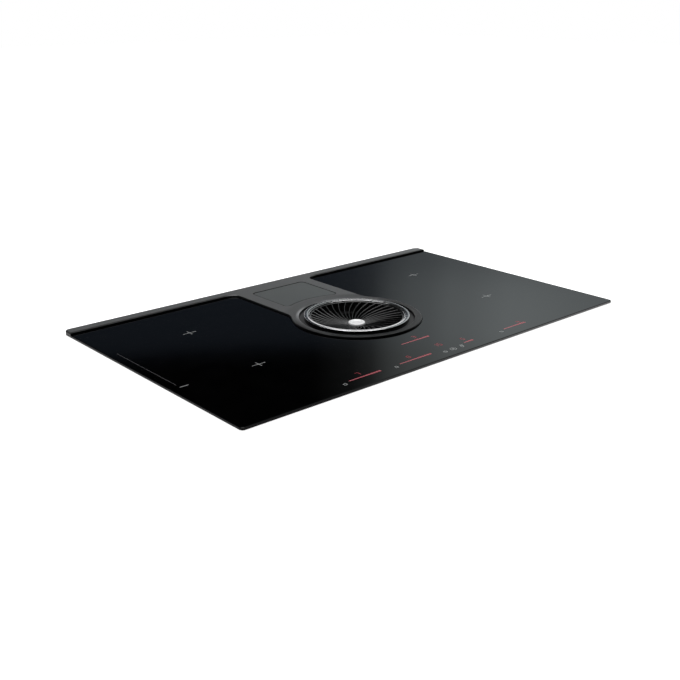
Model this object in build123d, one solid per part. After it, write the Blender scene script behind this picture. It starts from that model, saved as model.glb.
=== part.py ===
from build123d import *
import math
import os

# Downdraft induction cooktop, millimetres, +Z up.
# The origin is the middle of the plane on which the plate's edge seal lies on the worktop.
# +X is the user's right, +Y the rear, and the controls are along the front edge.

# ---- glass plate, seal and trim -------------------------------------------------------
plate_width = 830.0
plate_depth = 500.0
plate_corner = 6.0
seal_height = 1.0
seal_width = 8.0
seal_inset = 2.0
glass_thickness = 4.0
glass_bevel = 1.0
joint_gap = 0.4
trim_rise = 3.0
trim_face_thickness = 3.0
trim_skirt = 2.5
trim_round = 1.2
strip_depth = 25.0
strip_end_round = 10.0
bridge_width = 170.0
bridge_fillet = 13.0
collar_radius = 112.0
collar_fillet = 45.0
frame_lap = 14.0
frame_thickness = 2.0
frame_leg_width = 14.0
frame_leg_x = 60.0
frame_leg_front_y = -120.0
frame_leg_back_inset = 32.0

# ---- inlet, grille and grease filter --------------------------------------------------
inlet_y = -13.6
trim_bore_radius = 100.0
well_mouth_radius = 84.0
well_mouth_depth = 12.0
well_radius = 70.0
well_wall = 2.5
well_flange_thickness = 2.0
well_depth = 84.0
well_drain_radius = 9.0
well_drain_wall = 2.0
well_drain_length = 12.0
well_drain_y = -70.0
well_window_width = 96.0
well_window_sill = 4.0
rim_outer_radius = 91.0
rim_inner_radius = 82.0
rim_rise = 6.0
rim_lip_width = 2.2
rim_groove = 1.4
fin_count = 36
fin_thickness = 1.7
fin_height = 9.0
fin_sweep = 28.0
fin_hub_radius = 16.0
hub_drop = 11.5
dish_edge_drop = 3.0
hoop_wall = 2.5
hub_height = 12.0
dish_curve = 0.43
fin_curve = 0.56
cap_radius = 14.5
cap_height = 3.0
filter_radius = 66.0
filter_wall = 2.0
filter_rim_height = 6.0
filter_floor = 2.5
filter_foot = 3.0
filter_clearance_below_hub = 8.0
filter_rib_count = 12
filter_rib_width = 5.0
mesh_wall = 1.2
handle_loop_radius = 12.0
handle_wire = 3.0
lift_clearance = 0.3

# ---- weighing plate and load cell -----------------------------------------------------
scale_width = 120.0
scale_back_inset = 41.0
scale_front_radius = 129.0
scale_corner = 8.0
scale_gap = 1.0
scale_thickness = 3.0
scale_sink = 0.3
scale_post_radius = 9.0
scale_travel = 0.25
scale_stop_gap = 0.05
load_cell_width = 22.0
load_cell_length = 80.0
load_cell_height = 12.0
load_cell_hole = 4.3
load_cell_y = 160.0
bracket_thickness = 3.0
bracket_width = 150.0

# ---- tray under the glass -------------------------------------------------------------
tray_side_inset = 14.0
tray_end_inset = 15.0
tray_wall = 1.2
tray_depth = 52.0
support_width = 12.0
support_corner = 12.0
tray_hole_clearance = 1.5
tray_slot_count = 14
tray_slot_pitch = 12.0
tray_slot_width = 4.0
tray_slot_height = 26.0
tray_slot_y = 10.0
clip_width = 26.0
clip_height = 34.0
clip_thickness = 0.8
clip_bulge = 3.0
clip_foot = 7.0
clip_bend = 5.0
clip_y = 120.0

# ---- cooking zones --------------------------------------------------------------------
zone_side_gap = 49.0
zone_rear_y = 107.0
zone_front_y = -82.0
coil_outer_radius = 84.0
coil_inner_radius = 22.0
insulator_thickness = 0.8
coil_thickness = 6.0
ferrite_count = 8
ferrite_width = 14.0
ferrite_length = 52.0
ferrite_height = 4.0
carrier_radius = 90.0
carrier_thickness = 2.0
carrier_hole_radius = 11.0
sensor_radius = 6.0
sensor_foot_radius = 15.0
sensor_foot_height = 2.0
rail_spread = 68.0
rail_width = 14.0
rail_height = 5.0
spacer_radius = 5.0
spacer_height = 2.5

# ---- power electronics ----------------------------------------------------------------
board_width = 190.0
board_length = 250.0
board_thickness = 1.6
board_side_gap = 21.0
board_y = 40.0
standoff_height = 4.0
standoff_radius = 4.0
heatsink_width = 150.0
heatsink_length = 58.0
heatsink_height = 17.0
heatsink_base = 3.5
heatsink_fin_count = 20
heatsink_fin_thickness = 2.2
heatsink_y = 120.0
capacitor_count = 4
capacitor_radius = 9.0
capacitor_height = 18.0
choke_count = 3
choke_size = 26.0
choke_height = 16.0
relay_count = 5
relay_width = 12.0
relay_length = 22.0
relay_height = 14.0
fan_size = 80.0
fan_thickness = 15.0
fan_x = 145.0
fan_y = -165.0
fan_bore_clearance = 0.8
fan_rotor_radius = 36.0
fan_hub_radius = 15.0
fan_blade_count = 7
fan_blade_thickness = 1.2
fan_blade_width = 11.5
fan_blade_pitch = 40.0
fan_hub_clearance = 0.5
fan_mount_height = 4.0
fan_axle_radius = 1.5
fan_strut_width = 5.0
control_width = 430.0
control_length = 36.0
control_tab_width = 110.0
control_tab_length = 42.0
control_front_gap = 5.0
control_drop = 5.0
control_post_radius = 3.0
display_width = 70.0
display_length = 18.0
display_inset = 2.0
display_xs = [-175.0, -60.0, 60.0, 175.0]

# ---- extractor: duct, scroll, impeller and motor --------------------------------------
duct_mouth_width = 130.0
duct_mouth_depth = 50.0
duct_round_radius = 62.0
duct_wall = 2.5
duct_height = 38.0
scroll_height = 112.0
scroll_wall = 2.5
blower_x = -55.0
blower_y = 99.0
scroll_start_radius = 79.0
scroll_end_radius = 130.0
scroll_tongue_angle = 52.0
scroll_outlet_y = 188.0
scroll_flange = 10.0
scroll_flange_thickness = 3.0
scroll_inlet_radius = 52.0
scroll_screw_angles = [100, 150, 200, 250, 300, 345]
impeller_radius = 68.0
impeller_inner_radius = 54.0
impeller_height = 95.0
impeller_plate = 2.5
impeller_blade_count = 36
impeller_blade_thickness = 1.5
impeller_blade_lean = 8.0
impeller_floor_gap = 8.0
rotor_radius = 38.0
rotor_wall = 2.5
rotor_height = 44.0
shaft_radius = 3.0
shaft_clearance = 0.05
bearing_radius = 8.0
bearing_height = 6.0
bearing_tube_wall = 2.5
stator_radius = 33.0
stator_height = 26.0
stator_yoke = 6.0
stator_pole_count = 9
stator_pole_width = 6.0
stator_shoe_width = 16.0
stator_shoe_thickness = 3.0
stator_wire_width = 10.0
motor_base_radius = 44.0
motor_base_thickness = 3.0
motor_screw_count = 3
motor_gap = 3.0

# ---- outlet ---------------------------------------------------------------------------
outlet_radius = 74.0
outlet_wall = 2.0
outlet_length = 28.0
outlet_box_depth = 20.0
outlet_box_margin = 1.0
flap_gap = 1.5
flap_thickness = 1.5
flap_pin_radius = 2.0
flap_pin_clearance = 0.06
flap_knuckle_radius = 4.0
flap_knuckle_gap = 0.6
flap_pin_inset = 7.0

# ---- spill drawer ---------------------------------------------------------------------
drawer_housing_width = 190.0
drawer_housing_front_y = -150.0
drawer_housing_back_y = -34.0
drawer_wall = 2.0
drawer_front_thickness = 3.0
drawer_gap = 1.0
drawer_height = 88.0
drawer_drop = 14.0
drawer_pull_width = 70.0
drawer_pull_reach = 12.0
drawer_pull_height = 6.0
runner_width = 8.0
runner_height = 4.0

# ---- mains terminal box ---------------------------------------------------------------
terminal_side_gap = 26.0
terminal_back_gap = 15.0
terminal_width = 90.0
terminal_length = 70.0
terminal_height = 34.0
terminal_wall = 2.0
terminal_pole_count = 5
terminal_pole_pitch = 13.0
terminal_block_length = 20.0
terminal_block_height = 14.0
gland_bore_radius = 6.0
gland_outer_radius = 11.0
gland_sleeve_radius = 8.5
gland_length = 16.0

# ---- screws ---------------------------------------------------------------------------
screw_radius = 2.0
screw_head_radius = 3.8
screw_head_height = 2.4
screw_length = 8.0
fuse = 0.5

# ---- levels and places worked out from the sizes above --------------------------------
glass_bottom_z = seal_height
glass_top_z = seal_height + glass_thickness
trim_top_z = glass_top_z + trim_rise
rim_top_z = glass_top_z + rim_rise
strip_front_y = plate_depth / 2 - strip_depth
frame_leg_back_y = plate_depth / 2 - frame_leg_back_inset
scale_back_y = plate_depth / 2 - scale_back_inset
tray_width = plate_width - 2 * tray_side_inset
tray_length = plate_depth - 2 * tray_end_inset
zone_x = tray_width / 2 - zone_side_gap - carrier_radius
board_x = tray_width / 2 - board_side_gap - board_width / 2
control_y = -tray_length / 2 + control_front_gap + control_length / 2
terminal_x = tray_width / 2 - terminal_side_gap - terminal_width / 2
terminal_y = tray_length / 2 - terminal_back_gap - terminal_length / 2
well_flange_z = glass_bottom_z + well_flange_thickness
well_floor_z = glass_bottom_z - well_depth
well_outer_radius = well_radius + well_wall
mouth_outer_radius = well_mouth_radius + well_wall
hub_top_z = glass_top_z - hub_drop
dish_edge_z = rim_top_z - dish_edge_drop
tray_floor_z = -tray_depth
duct_floor_z = tray_floor_z - duct_height
scroll_bottom_z = duct_floor_z - scroll_height
scroll_middle_z = (duct_floor_z + scroll_bottom_z) / 2
coil_top_z = glass_bottom_z - insulator_thickness
coil_bottom_z = coil_top_z - coil_thickness
ferrite_bottom_z = coil_bottom_z - ferrite_height
carrier_bottom_z = ferrite_bottom_z - carrier_thickness
rail_top_z = carrier_bottom_z - spacer_height
tray_inner_floor_z = tray_floor_z + tray_wall
support_bottom_z = glass_bottom_z - tray_wall
filter_top_z = hub_top_z - hub_height - filter_clearance_below_hub
filter_inner_radius = filter_radius - filter_wall
filter_floor_z = well_floor_z + filter_foot + filter_floor
scale_top_z = trim_top_z - scale_sink
scale_bottom_z = scale_top_z - scale_thickness
load_cell_top_z = glass_bottom_z - frame_thickness - load_cell_height / 2
load_cell_bottom_z = load_cell_top_z - load_cell_height
scale_post_x = load_cell_length / 2 - scale_post_radius
board_bottom_z = tray_inner_floor_z + standoff_height
board_top_z = board_bottom_z + board_thickness
scroll_floor_z = scroll_bottom_z + scroll_wall
impeller_bottom_z = scroll_floor_z + impeller_floor_gap
impeller_top_z = impeller_bottom_z + impeller_height
rotor_bottom_z = impeller_bottom_z + impeller_plate
rotor_top_z = rotor_bottom_z + rotor_height
motor_base_top_z = scroll_floor_z + motor_base_thickness
bearing_tube_radius = bearing_radius + bearing_tube_wall
bearing_tube_top_z = rotor_top_z - rotor_wall - 3 * motor_gap
shelf_top_z = well_floor_z - well_wall
drawer_top_z = shelf_top_z - drawer_wall - drawer_drop
drawer_floor_z = drawer_top_z - drawer_height
drawer_half = drawer_housing_width / 2 - drawer_wall - drawer_gap
drawer_body_half = drawer_half - runner_width
terminal_bottom_z = tray_floor_z - terminal_height
terminal_back_y = terminal_y + terminal_length / 2
gland_z = tray_floor_z - terminal_height / 2
zones = {
    "front_left": (-zone_x, zone_front_y),
    "rear_left": (-zone_x, zone_rear_y),
    "front_right": (zone_x, zone_front_y),
    "rear_right": (zone_x, zone_rear_y),
}


# ---- small helpers --------------------------------------------------------------------
def block(x0, x1, y0, y1, z0, z1):
    """Box between the given limits."""
    middle = Pos((x0 + x1) / 2, (y0 + y1) / 2, (z0 + z1) / 2)
    return middle * Box(x1 - x0, y1 - y0, z1 - z0)


def disc(radius, z0, z1, x=0.0, y=0.0):
    """Upright cylinder between two levels."""
    return Pos(x, y, (z0 + z1) / 2) * Cylinder(radius, z1 - z0)


def tube(inner, outer, z0, z1, x=0.0, y=0.0):
    """Upright pipe between two levels."""
    return disc(outer, z0, z1, x, y) - disc(inner, z0 - 1, z1 + 1, x, y)


def slab(face, z0, z1):
    """Flat outline drawn at z = 0, thickened between two levels."""
    return Pos(0, 0, z0) * extrude(face, amount=z1 - z0)


def polar(radius, angle):
    """Point at a radius and an angle in degrees."""
    return (radius * math.cos(math.radians(angle)), radius * math.sin(math.radians(angle)))


def save(name, *pieces):
    """Write one node, which may hold several separate solids."""
    solids = [solid for piece in pieces for solid in piece.solids()]
    shape = solids[0] if len(solids) == 1 else Compound(children=solids)
    export_step(shape, os.path.join("parts", name + ".step"))


def screw(x, y, z, up=True, length=screw_length):
    """Pan-head screw with its head on the level z, above it or below it."""
    turn = 1 if up else -1
    head = Pos(x, y, z + turn * screw_head_height / 2) * Cylinder(screw_head_radius, screw_head_height)
    head = chamfer(head.edges().group_by(Axis.Z)[-1 if up else 0], screw_head_height / 3)
    shank = Pos(x, y, z - turn * length / 2) * Cylinder(screw_radius, length)
    return head + shank


def near(shape, *points):
    """Vertices of a flat outline that lie at the given points."""
    return [v for v in shape.vertices() for p in points if math.hypot(v.X - p[0], v.Y - p[1]) < 0.05]


# ---- outlines seen from above ---------------------------------------------------------
def trim_outline():
    """T-shaped outline: rear strip, bridge and round collar, with its inner corners rounded."""
    half = bridge_width / 2
    bridge_length = strip_front_y + strip_depth / 2 - inlet_y
    meet_y = inlet_y + math.sqrt(collar_radius**2 - half**2)
    outline = Pos(0, strip_front_y + strip_depth / 2) * Rectangle(plate_width, strip_depth)
    outline += Pos(0, inlet_y + bridge_length / 2) * Rectangle(bridge_width, bridge_length)
    outline += Pos(0, inlet_y) * Circle(collar_radius)
    outline = fillet(near(outline, (-half, strip_front_y), (half, strip_front_y)), bridge_fillet)
    outline = fillet(near(outline, (-half, meet_y), (half, meet_y)), collar_fillet)
    ends = near(outline, (-plate_width / 2, plate_depth / 2), (plate_width / 2, plate_depth / 2))
    return fillet(ends, strip_end_round)


def scale_outline():
    """Weighing plate: a rectangle whose front edge follows the collar."""
    depth = scale_back_y - inlet_y
    outline = Pos(0, scale_back_y - depth / 2) * Rectangle(scale_width, depth)
    outline -= Pos(0, inlet_y) * Circle(scale_front_radius)
    return fillet(outline.vertices(), scale_corner)


def scroll_radius(angle):
    """The scroll grows evenly from the tongue to the outlet side."""
    share = (angle - scroll_tongue_angle) / (360 - scroll_tongue_angle)
    return scroll_start_radius + (scroll_end_radius - scroll_start_radius) * share


def scroll_point(angle, grow=0.0):
    """Point on the scroll's wall, moved outwards by grow."""
    x, y = polar(scroll_radius(angle) + grow, angle)
    return (blower_x + x, blower_y + y)


def scroll_outline(grow=0.0):
    """Scroll with its straight outlet channel towards the rear, moved outwards by grow."""
    steps = 10
    turn = 360 - scroll_tongue_angle
    points = [scroll_point(scroll_tongue_angle + turn * i / steps, grow) for i in range(steps + 1)]
    spiral = make_face([Spline(*points), Line(points[-1], points[0])])
    left = scroll_point(scroll_tongue_angle)[0] - grow
    right = scroll_point(360)[0] + grow
    length = scroll_outlet_y - blower_y
    channel = Rectangle(right - left, length)
    return spiral + Pos((left + right) / 2, blower_y + length / 2) * channel


outlet_x = (scroll_point(scroll_tongue_angle)[0] + scroll_point(360)[0]) / 2
outlet_z = tray_floor_z - outlet_box_margin - outlet_radius
outlet_box_y = scroll_outlet_y + outlet_box_depth
flap_pin_y = outlet_box_y + flap_pin_inset


# ---- plate ----------------------------------------------------------------------------
def glass_panel():
    length = strip_front_y - joint_gap + plate_depth / 2
    outline = Pos(0, strip_front_y - joint_gap - length / 2) * Rectangle(plate_width, length)
    front = near(outline, (-plate_width / 2, -plate_depth / 2), (plate_width / 2, -plate_depth / 2))
    outline = fillet(front, plate_corner)
    outline -= offset(trim_outline(), amount=joint_gap)
    panel = slab(outline, glass_bottom_z, glass_top_z)
    return chamfer(panel.faces().sort_by(Axis.Z)[-1].edges(), glass_bevel)


def worktop_seal():
    width = plate_width - 2 * seal_inset
    depth = plate_depth - 2 * seal_inset
    ring = RectangleRounded(width, depth, plate_corner)
    ring -= RectangleRounded(width - 2 * seal_width, depth - 2 * seal_width, plate_corner)
    return slab(ring, 0, seal_height)


def centre_trim():
    """Cast trim: a face with skirts down to the frame, open for the inlet and the weighing plate."""
    outline = trim_outline()
    window = offset(scale_outline(), amount=scale_gap)
    bore = Pos(0, inlet_y) * Circle(trim_bore_radius)
    pocket = offset(outline, amount=-trim_skirt)
    pocket -= offset(window, amount=trim_skirt)
    pocket -= Pos(0, inlet_y) * Circle(trim_bore_radius + trim_skirt)
    trim = slab(outline - bore, glass_bottom_z, trim_top_z)
    trim -= slab(pocket, glass_bottom_z, trim_top_z - trim_face_thickness)
    rounded = trim.faces().sort_by(Axis.Z)[-1].edges()
    trim = fillet(rounded, trim_round)
    return trim - slab(window, glass_bottom_z, trim_top_z)


def centre_frame():
    """Sheet under the trim and the glass edges beside it, on four legs."""
    half = bridge_width / 2 + frame_lap
    back_y = tray_length / 2 - tray_wall - support_width
    outline = Pos(0, (inlet_y + back_y) / 2) * Rectangle(2 * half, back_y - inlet_y)
    outline += Pos(0, inlet_y) * Circle(collar_radius + frame_lap)
    outline -= Pos(0, inlet_y) * Circle(mouth_outer_radius + joint_gap)
    outline -= offset(scale_outline(), amount=-trim_skirt)
    frame = slab(outline, glass_bottom_z - frame_thickness, glass_bottom_z)
    for x in (-frame_leg_x, frame_leg_x):
        for y in (frame_leg_front_y, frame_leg_back_y):
            left = x - frame_leg_width / 2
            right = x + frame_leg_width / 2
            frame += block(left, right, y, y + frame_thickness, tray_inner_floor_z, glass_bottom_z)
    return frame


# ---- inlet, grille and filter ---------------------------------------------------------
def inlet_well():
    """Black cup under the grille, with a window to the duct and a spout to the drawer."""
    floor_z = well_floor_z - well_wall
    step_z = glass_bottom_z - well_mouth_depth
    well = disc(well_outer_radius, floor_z, step_z, 0, inlet_y)
    well += disc(mouth_outer_radius, step_z - well_wall, glass_bottom_z, 0, inlet_y)
    well += disc(trim_bore_radius - joint_gap, glass_bottom_z, well_flange_z, 0, inlet_y)
    well -= disc(well_mouth_radius, step_z, well_flange_z, 0, inlet_y)
    well -= disc(well_radius, well_floor_z, step_z, 0, inlet_y)
    spout_radius = well_drain_radius + well_drain_wall
    well += disc(spout_radius, floor_z - well_drain_length, floor_z, 0, well_drain_y)
    well -= disc(well_drain_radius, floor_z - well_drain_length, well_floor_z, 0, well_drain_y)
    half = well_window_width / 2
    sill_z = well_floor_z + well_window_sill
    reach = inlet_y + well_outer_radius
    return well - block(-half, half, inlet_y, reach, sill_z, tray_floor_z - duct_wall)


def grille_rim():
    """Rounded chrome ring with a groove and a narrow inner lip."""
    lip = rim_inner_radius + rim_lip_width
    shoulder = rim_top_z - rim_groove
    with BuildPart() as rim:
        with BuildSketch(Plane.XZ):
            with BuildLine():
                Line((rim_inner_radius, well_flange_z), (rim_outer_radius, well_flange_z))
                Line((rim_outer_radius, well_flange_z), (rim_outer_radius, shoulder - rim_groove))
                crown = ((rim_outer_radius + lip + rim_groove) / 2, rim_top_z)
                ThreePointArc(
                    (rim_outer_radius, shoulder - rim_groove), crown, (lip + rim_groove, shoulder)
                )
                Line((lip + rim_groove, shoulder), (lip, shoulder - rim_groove))
                Line((lip, shoulder - rim_groove), (lip, shoulder))
                Line((lip, shoulder), (rim_inner_radius, shoulder))
                Line((rim_inner_radius, shoulder), (rim_inner_radius, well_flange_z))
            make_face()
        revolve(axis=Axis.Z)
    return Pos(0, inlet_y, 0) * rim.part


def dish_profile(top_drop, inner, outer):
    """Half section of the dish that the fins fill, lowered by top_drop."""
    span = outer - inner
    rise = dish_edge_z - hub_top_z
    middle = (inner + span / 2, hub_top_z + rise * dish_curve - top_drop)
    return ThreePointArc((inner, hub_top_z - top_drop), middle, (outer, dish_edge_z - top_drop))


def grille_fins():
    """Spiral fins between the hub and the hoop, cut to the shape of a shallow dish."""
    hoop_outer = rim_inner_radius - joint_gap
    hoop_inner = hoop_outer - hoop_wall
    inner = fin_hub_radius - fin_thickness / 2
    outer = hoop_inner + hoop_wall / 2
    start = polar(inner, 0)
    middle = polar((inner + outer) / 2, -fin_sweep * fin_curve)
    end = polar(outer, -fin_sweep)
    fin = slab(trace(ThreePointArc(start, middle, end), fin_thickness), hub_top_z - fin_height, rim_top_z)
    fins = [Rot(0, 0, 360 * i / fin_count) * fin for i in range(fin_count)]
    with BuildPart() as dish:
        with BuildSketch(Plane.XZ):
            with BuildLine():
                top = dish_profile(0, inner, outer)
                bottom = dish_profile(fin_height, inner, outer)
                Line(top @ 0, bottom @ 0)
                Line(top @ 1, bottom @ 1)
            make_face()
        revolve(axis=Axis.Z)
    grille = Part() + [blade & dish.part for blade in fins]
    grille += disc(fin_hub_radius, hub_top_z - hub_height, hub_top_z)
    grille += tube(hoop_inner, hoop_outer, well_flange_z, dish_edge_z)
    return Pos(0, inlet_y, 0) * grille


def grille_cap():
    cap = disc(cap_radius, hub_top_z, hub_top_z + cap_height, 0, inlet_y)
    return fillet(cap.edges().group_by(Axis.Z)[-1], cap_height / 3)


def filter_basket():
    """Open cup: floor and rim joined by upright ribs whose lower ends are the feet."""
    basket = disc(filter_radius, filter_floor_z - filter_floor, filter_floor_z)
    rim_bottom = filter_top_z - filter_rim_height
    basket += tube(filter_inner_radius, filter_radius, rim_bottom, filter_top_z)
    rib = block(
        filter_inner_radius, filter_radius - fuse, -filter_rib_width / 2, filter_rib_width / 2,
        well_floor_z, rim_bottom + fuse,
    )
    basket += [Rot(0, 0, 360 * i / filter_rib_count) * rib for i in range(filter_rib_count)]
    return Pos(0, inlet_y, 0) * basket


def filter_mesh():
    outer = filter_inner_radius - lift_clearance
    return tube(outer - mesh_wall, outer, filter_floor_z, filter_top_z, 0, inlet_y)


def filter_handle():
    """Post on the basket floor with a finger loop."""
    loop_z = filter_top_z - handle_loop_radius - handle_wire
    post = disc(handle_wire, filter_floor_z, loop_z - handle_loop_radius, 0, inlet_y)
    loop = Pos(0, inlet_y, loop_z) * Rot(90, 0, 0) * Torus(handle_loop_radius, handle_wire)
    foot = disc(3 * handle_wire, filter_floor_z, filter_floor_z + handle_wire, 0, inlet_y)
    return post + loop + foot


# ---- weighing plate -------------------------------------------------------------------
def weighing_plate():
    plate = slab(scale_outline(), scale_bottom_z, scale_top_z)
    post_bottom = load_cell_top_z + scale_travel + scale_stop_gap
    return plate + disc(scale_post_radius, post_bottom, scale_bottom_z, scale_post_x, load_cell_y)


def load_cell():
    """Metal bar with the thinned middle of a bending-beam sensor."""
    half = load_cell_length / 2
    y0 = load_cell_y - load_cell_width / 2
    y1 = load_cell_y + load_cell_width / 2
    bar = block(-half, half, y0, y1, load_cell_bottom_z, load_cell_top_z)
    middle_z = (load_cell_bottom_z + load_cell_top_z) / 2
    slot = Rot(90, 0, 0) * Cylinder(load_cell_hole, load_cell_width)
    for x in (-load_cell_height / 2, load_cell_height / 2):
        bar -= Pos(x, load_cell_y, middle_z) * slot
    return bar


def load_cell_bracket():
    """Hanger under the frame with a pad below the fixed end of the bar."""
    pad_top = load_cell_bottom_z
    plate_top = pad_top - bracket_thickness
    plate_bottom = plate_top - bracket_thickness
    half = bracket_width / 2
    y0 = load_cell_y - load_cell_width / 2
    y1 = load_cell_y + load_cell_width / 2
    frame_z = glass_bottom_z - frame_thickness
    bracket = block(-half, half, y0, y1, plate_bottom, plate_top)
    bracket += block(-half, -half + bracket_thickness, y0, y1, plate_bottom, frame_z)
    bracket += block(half - bracket_thickness, half, y0, y1, plate_bottom, frame_z)
    pad_left = -load_cell_length / 2
    return bracket + block(pad_left, pad_left + load_cell_width, y0, y1, plate_top, pad_top)


# ---- tray -----------------------------------------------------------------------------
def main_tray():
    """Welded steel tray: a floor sheet and four upright walls, with slots in the side walls."""
    half_w = tray_width / 2
    half_l = tray_length / 2
    floor = block(-half_w, half_w, -half_l, half_l, tray_floor_z, tray_inner_floor_z)
    floor -= disc(well_outer_radius + tray_hole_clearance, tray_floor_z, tray_inner_floor_z, 0, inlet_y)
    pieces = []
    for side in (-1, 1):
        floor -= disc(fan_rotor_radius, tray_floor_z, tray_inner_floor_z, side * fan_x, fan_y)
        x0, x1 = sorted((side * half_w, side * (half_w - tray_wall)))
        pieces.append(block(x0, x1, -half_l, half_l, tray_inner_floor_z, support_bottom_z) - side_slots(side))
        y0, y1 = sorted((side * half_l, side * (half_l - tray_wall)))
        inner = half_w - tray_wall
        pieces.append(block(-inner, inner, y0, y1, tray_inner_floor_z, support_bottom_z))
    return [floor, *pieces]


def glass_support():
    """Flat frame on the tray's walls that carries the glass."""
    mouth = 2 * (tray_wall + support_width)
    opening = RectangleRounded(tray_width - mouth, tray_length - mouth, support_corner)
    return slab(Rectangle(tray_width, tray_length) - opening, support_bottom_z, glass_bottom_z)


def side_slots(side):
    """Row of upright air slots in one side wall."""
    wall = side * tray_width / 2
    middle_z = (tray_floor_z + glass_bottom_z) / 2
    slot = Pos(wall, 0, middle_z) * Box(4 * tray_wall, tray_slot_width, tray_slot_height)
    first = tray_slot_y - tray_slot_pitch * (tray_slot_count - 1) / 2
    return [Pos(0, first + tray_slot_pitch * i, 0) * slot for i in range(tray_slot_count)]


def worktop_clips():
    """Four spring clips on the tray's sides that grip the edge of the worktop cut-out."""
    middle = -tray_depth / 2
    top = middle + clip_height / 2
    foot = middle - clip_height / 2
    near_wall = clip_thickness / 2
    path = Polyline(
        (near_wall, foot),
        (near_wall, foot + clip_foot),
        (near_wall + clip_bulge, middle + clip_bend),
        (near_wall, top),
    )
    section = Plane.XZ * trace(path, clip_thickness)
    section -= Plane.XZ * (Pos(-clip_thickness, middle) * Rectangle(2 * clip_thickness, 2 * clip_height))
    clip = extrude(section, amount=clip_width / 2, both=True)
    clips = []
    for y in (-clip_y, clip_y):
        clips.append(Pos(tray_width / 2, y, 0) * clip)
        clips.append(Pos(-tray_width / 2, y, 0) * Rot(0, 0, 180) * clip)
    return clips


# ---- cooking zones --------------------------------------------------------------------
def coil_winding(x, y):
    return tube(coil_inner_radius, coil_outer_radius, coil_bottom_z, coil_top_z, x, y)


def coil_carrier(x, y):
    return tube(carrier_hole_radius, carrier_radius, carrier_bottom_z, ferrite_bottom_z, x, y)


def ferrite_bars():
    """Spokes of ferrite under each winding."""
    inner = coil_inner_radius + (coil_outer_radius - coil_inner_radius - ferrite_length) / 2
    half = ferrite_width / 2
    bar = block(inner, inner + ferrite_length, -half, half, ferrite_bottom_z, coil_bottom_z)
    turns = [Rot(0, 0, 360 * i / ferrite_count) for i in range(ferrite_count)]
    return [Pos(x, y, 0) * turn * bar for x, y in zones.values() for turn in turns]


def coil_insulators():
    return [
        tube(sensor_radius + joint_gap, coil_outer_radius, coil_top_z, glass_bottom_z, x, y)
        for x, y in zones.values()
    ]


def coil_sensors():
    """Temperature probe in the middle of each winding, pressed to the glass from its carrier."""
    sensors = []
    for x, y in zones.values():
        probe = disc(sensor_radius, ferrite_bottom_z, glass_bottom_z, x, y)
        foot = disc(sensor_foot_radius, ferrite_bottom_z, ferrite_bottom_z + sensor_foot_height, x, y)
        sensors.append(probe + foot)
    return sensors


def rail_lines():
    """Places of the rails that carry two zones each."""
    return [side * zone_x + offset_x for side in (-1, 1) for offset_x in (-rail_spread, rail_spread)]


def coil_rails():
    half_length = tray_length / 2 - tray_wall
    half = rail_width / 2
    return [
        block(x - half, x + half, -half_length, half_length, rail_top_z - rail_height, rail_top_z)
        for x in rail_lines()
    ]


def coil_spacers():
    """Two posts per rail under each carrier."""
    spread = math.sqrt((carrier_radius - 2 * spacer_radius) ** 2 - rail_spread**2)
    spacers = []
    for x, y in zones.values():
        for side in (-rail_spread, rail_spread):
            for dy in (-spread, spread):
                spacers.append(disc(spacer_radius, rail_top_z, carrier_bottom_z, x + side, y + dy))
    return spacers


# ---- power electronics ----------------------------------------------------------------
def power_board(side):
    """Circuit board on standoffs with its capacitors, chokes and relays."""
    x0 = side * board_x
    half_w = board_width / 2
    half_l = board_length / 2
    y0 = board_y - half_l
    y1 = board_y + half_l
    pieces = [block(x0 - half_w, x0 + half_w, y0, y1, board_bottom_z, board_top_z)]
    inset = 3 * standoff_radius
    for x in (x0 - half_w + inset, x0 + half_w - inset):
        for y in (y0 + inset, y1 - inset):
            pieces.append(disc(standoff_radius, tray_inner_floor_z, board_bottom_z, x, y))
    row_y = y0 + 2 * inset + capacitor_radius
    for i in range(capacitor_count):
        x = x0 - half_w + 2 * inset + capacitor_radius + i * 3 * capacitor_radius
        pieces.append(disc(capacitor_radius, board_top_z, board_top_z + capacitor_height, x, row_y))
    choke_y = row_y + 3 * capacitor_radius + choke_size / 2
    for i in range(choke_count):
        x = x0 - half_w + 2 * inset + choke_size / 2 + i * 1.5 * choke_size
        ring = tube(choke_size / 4, choke_size / 2, board_top_z, board_top_z + choke_height, x, choke_y)
        pieces.append(ring)
    relay_y = choke_y + choke_size
    for i in range(relay_count):
        x = x0 - half_w + 2 * inset + i * 2 * relay_width
        relay_top_z = board_top_z + relay_height
        pieces.append(block(x, x + relay_width, relay_y, relay_y + relay_length, board_top_z, relay_top_z))
    return pieces


def heatsink(side):
    """Extruded base with upright cooling fins."""
    x0 = side * board_x - heatsink_width / 2
    y0 = heatsink_y - heatsink_length / 2
    y1 = heatsink_y + heatsink_length / 2
    top = board_top_z + heatsink_height
    sink = block(x0, x0 + heatsink_width, y0, y1, board_top_z, board_top_z + heatsink_base)
    pitch = heatsink_width / heatsink_fin_count
    for i in range(heatsink_fin_count):
        left = x0 + pitch * (i + 0.5) - heatsink_fin_thickness / 2
        right = left + heatsink_fin_thickness
        sink += block(left, right, y0, y1, board_top_z + heatsink_base / 2, top)
    return sink


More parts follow.
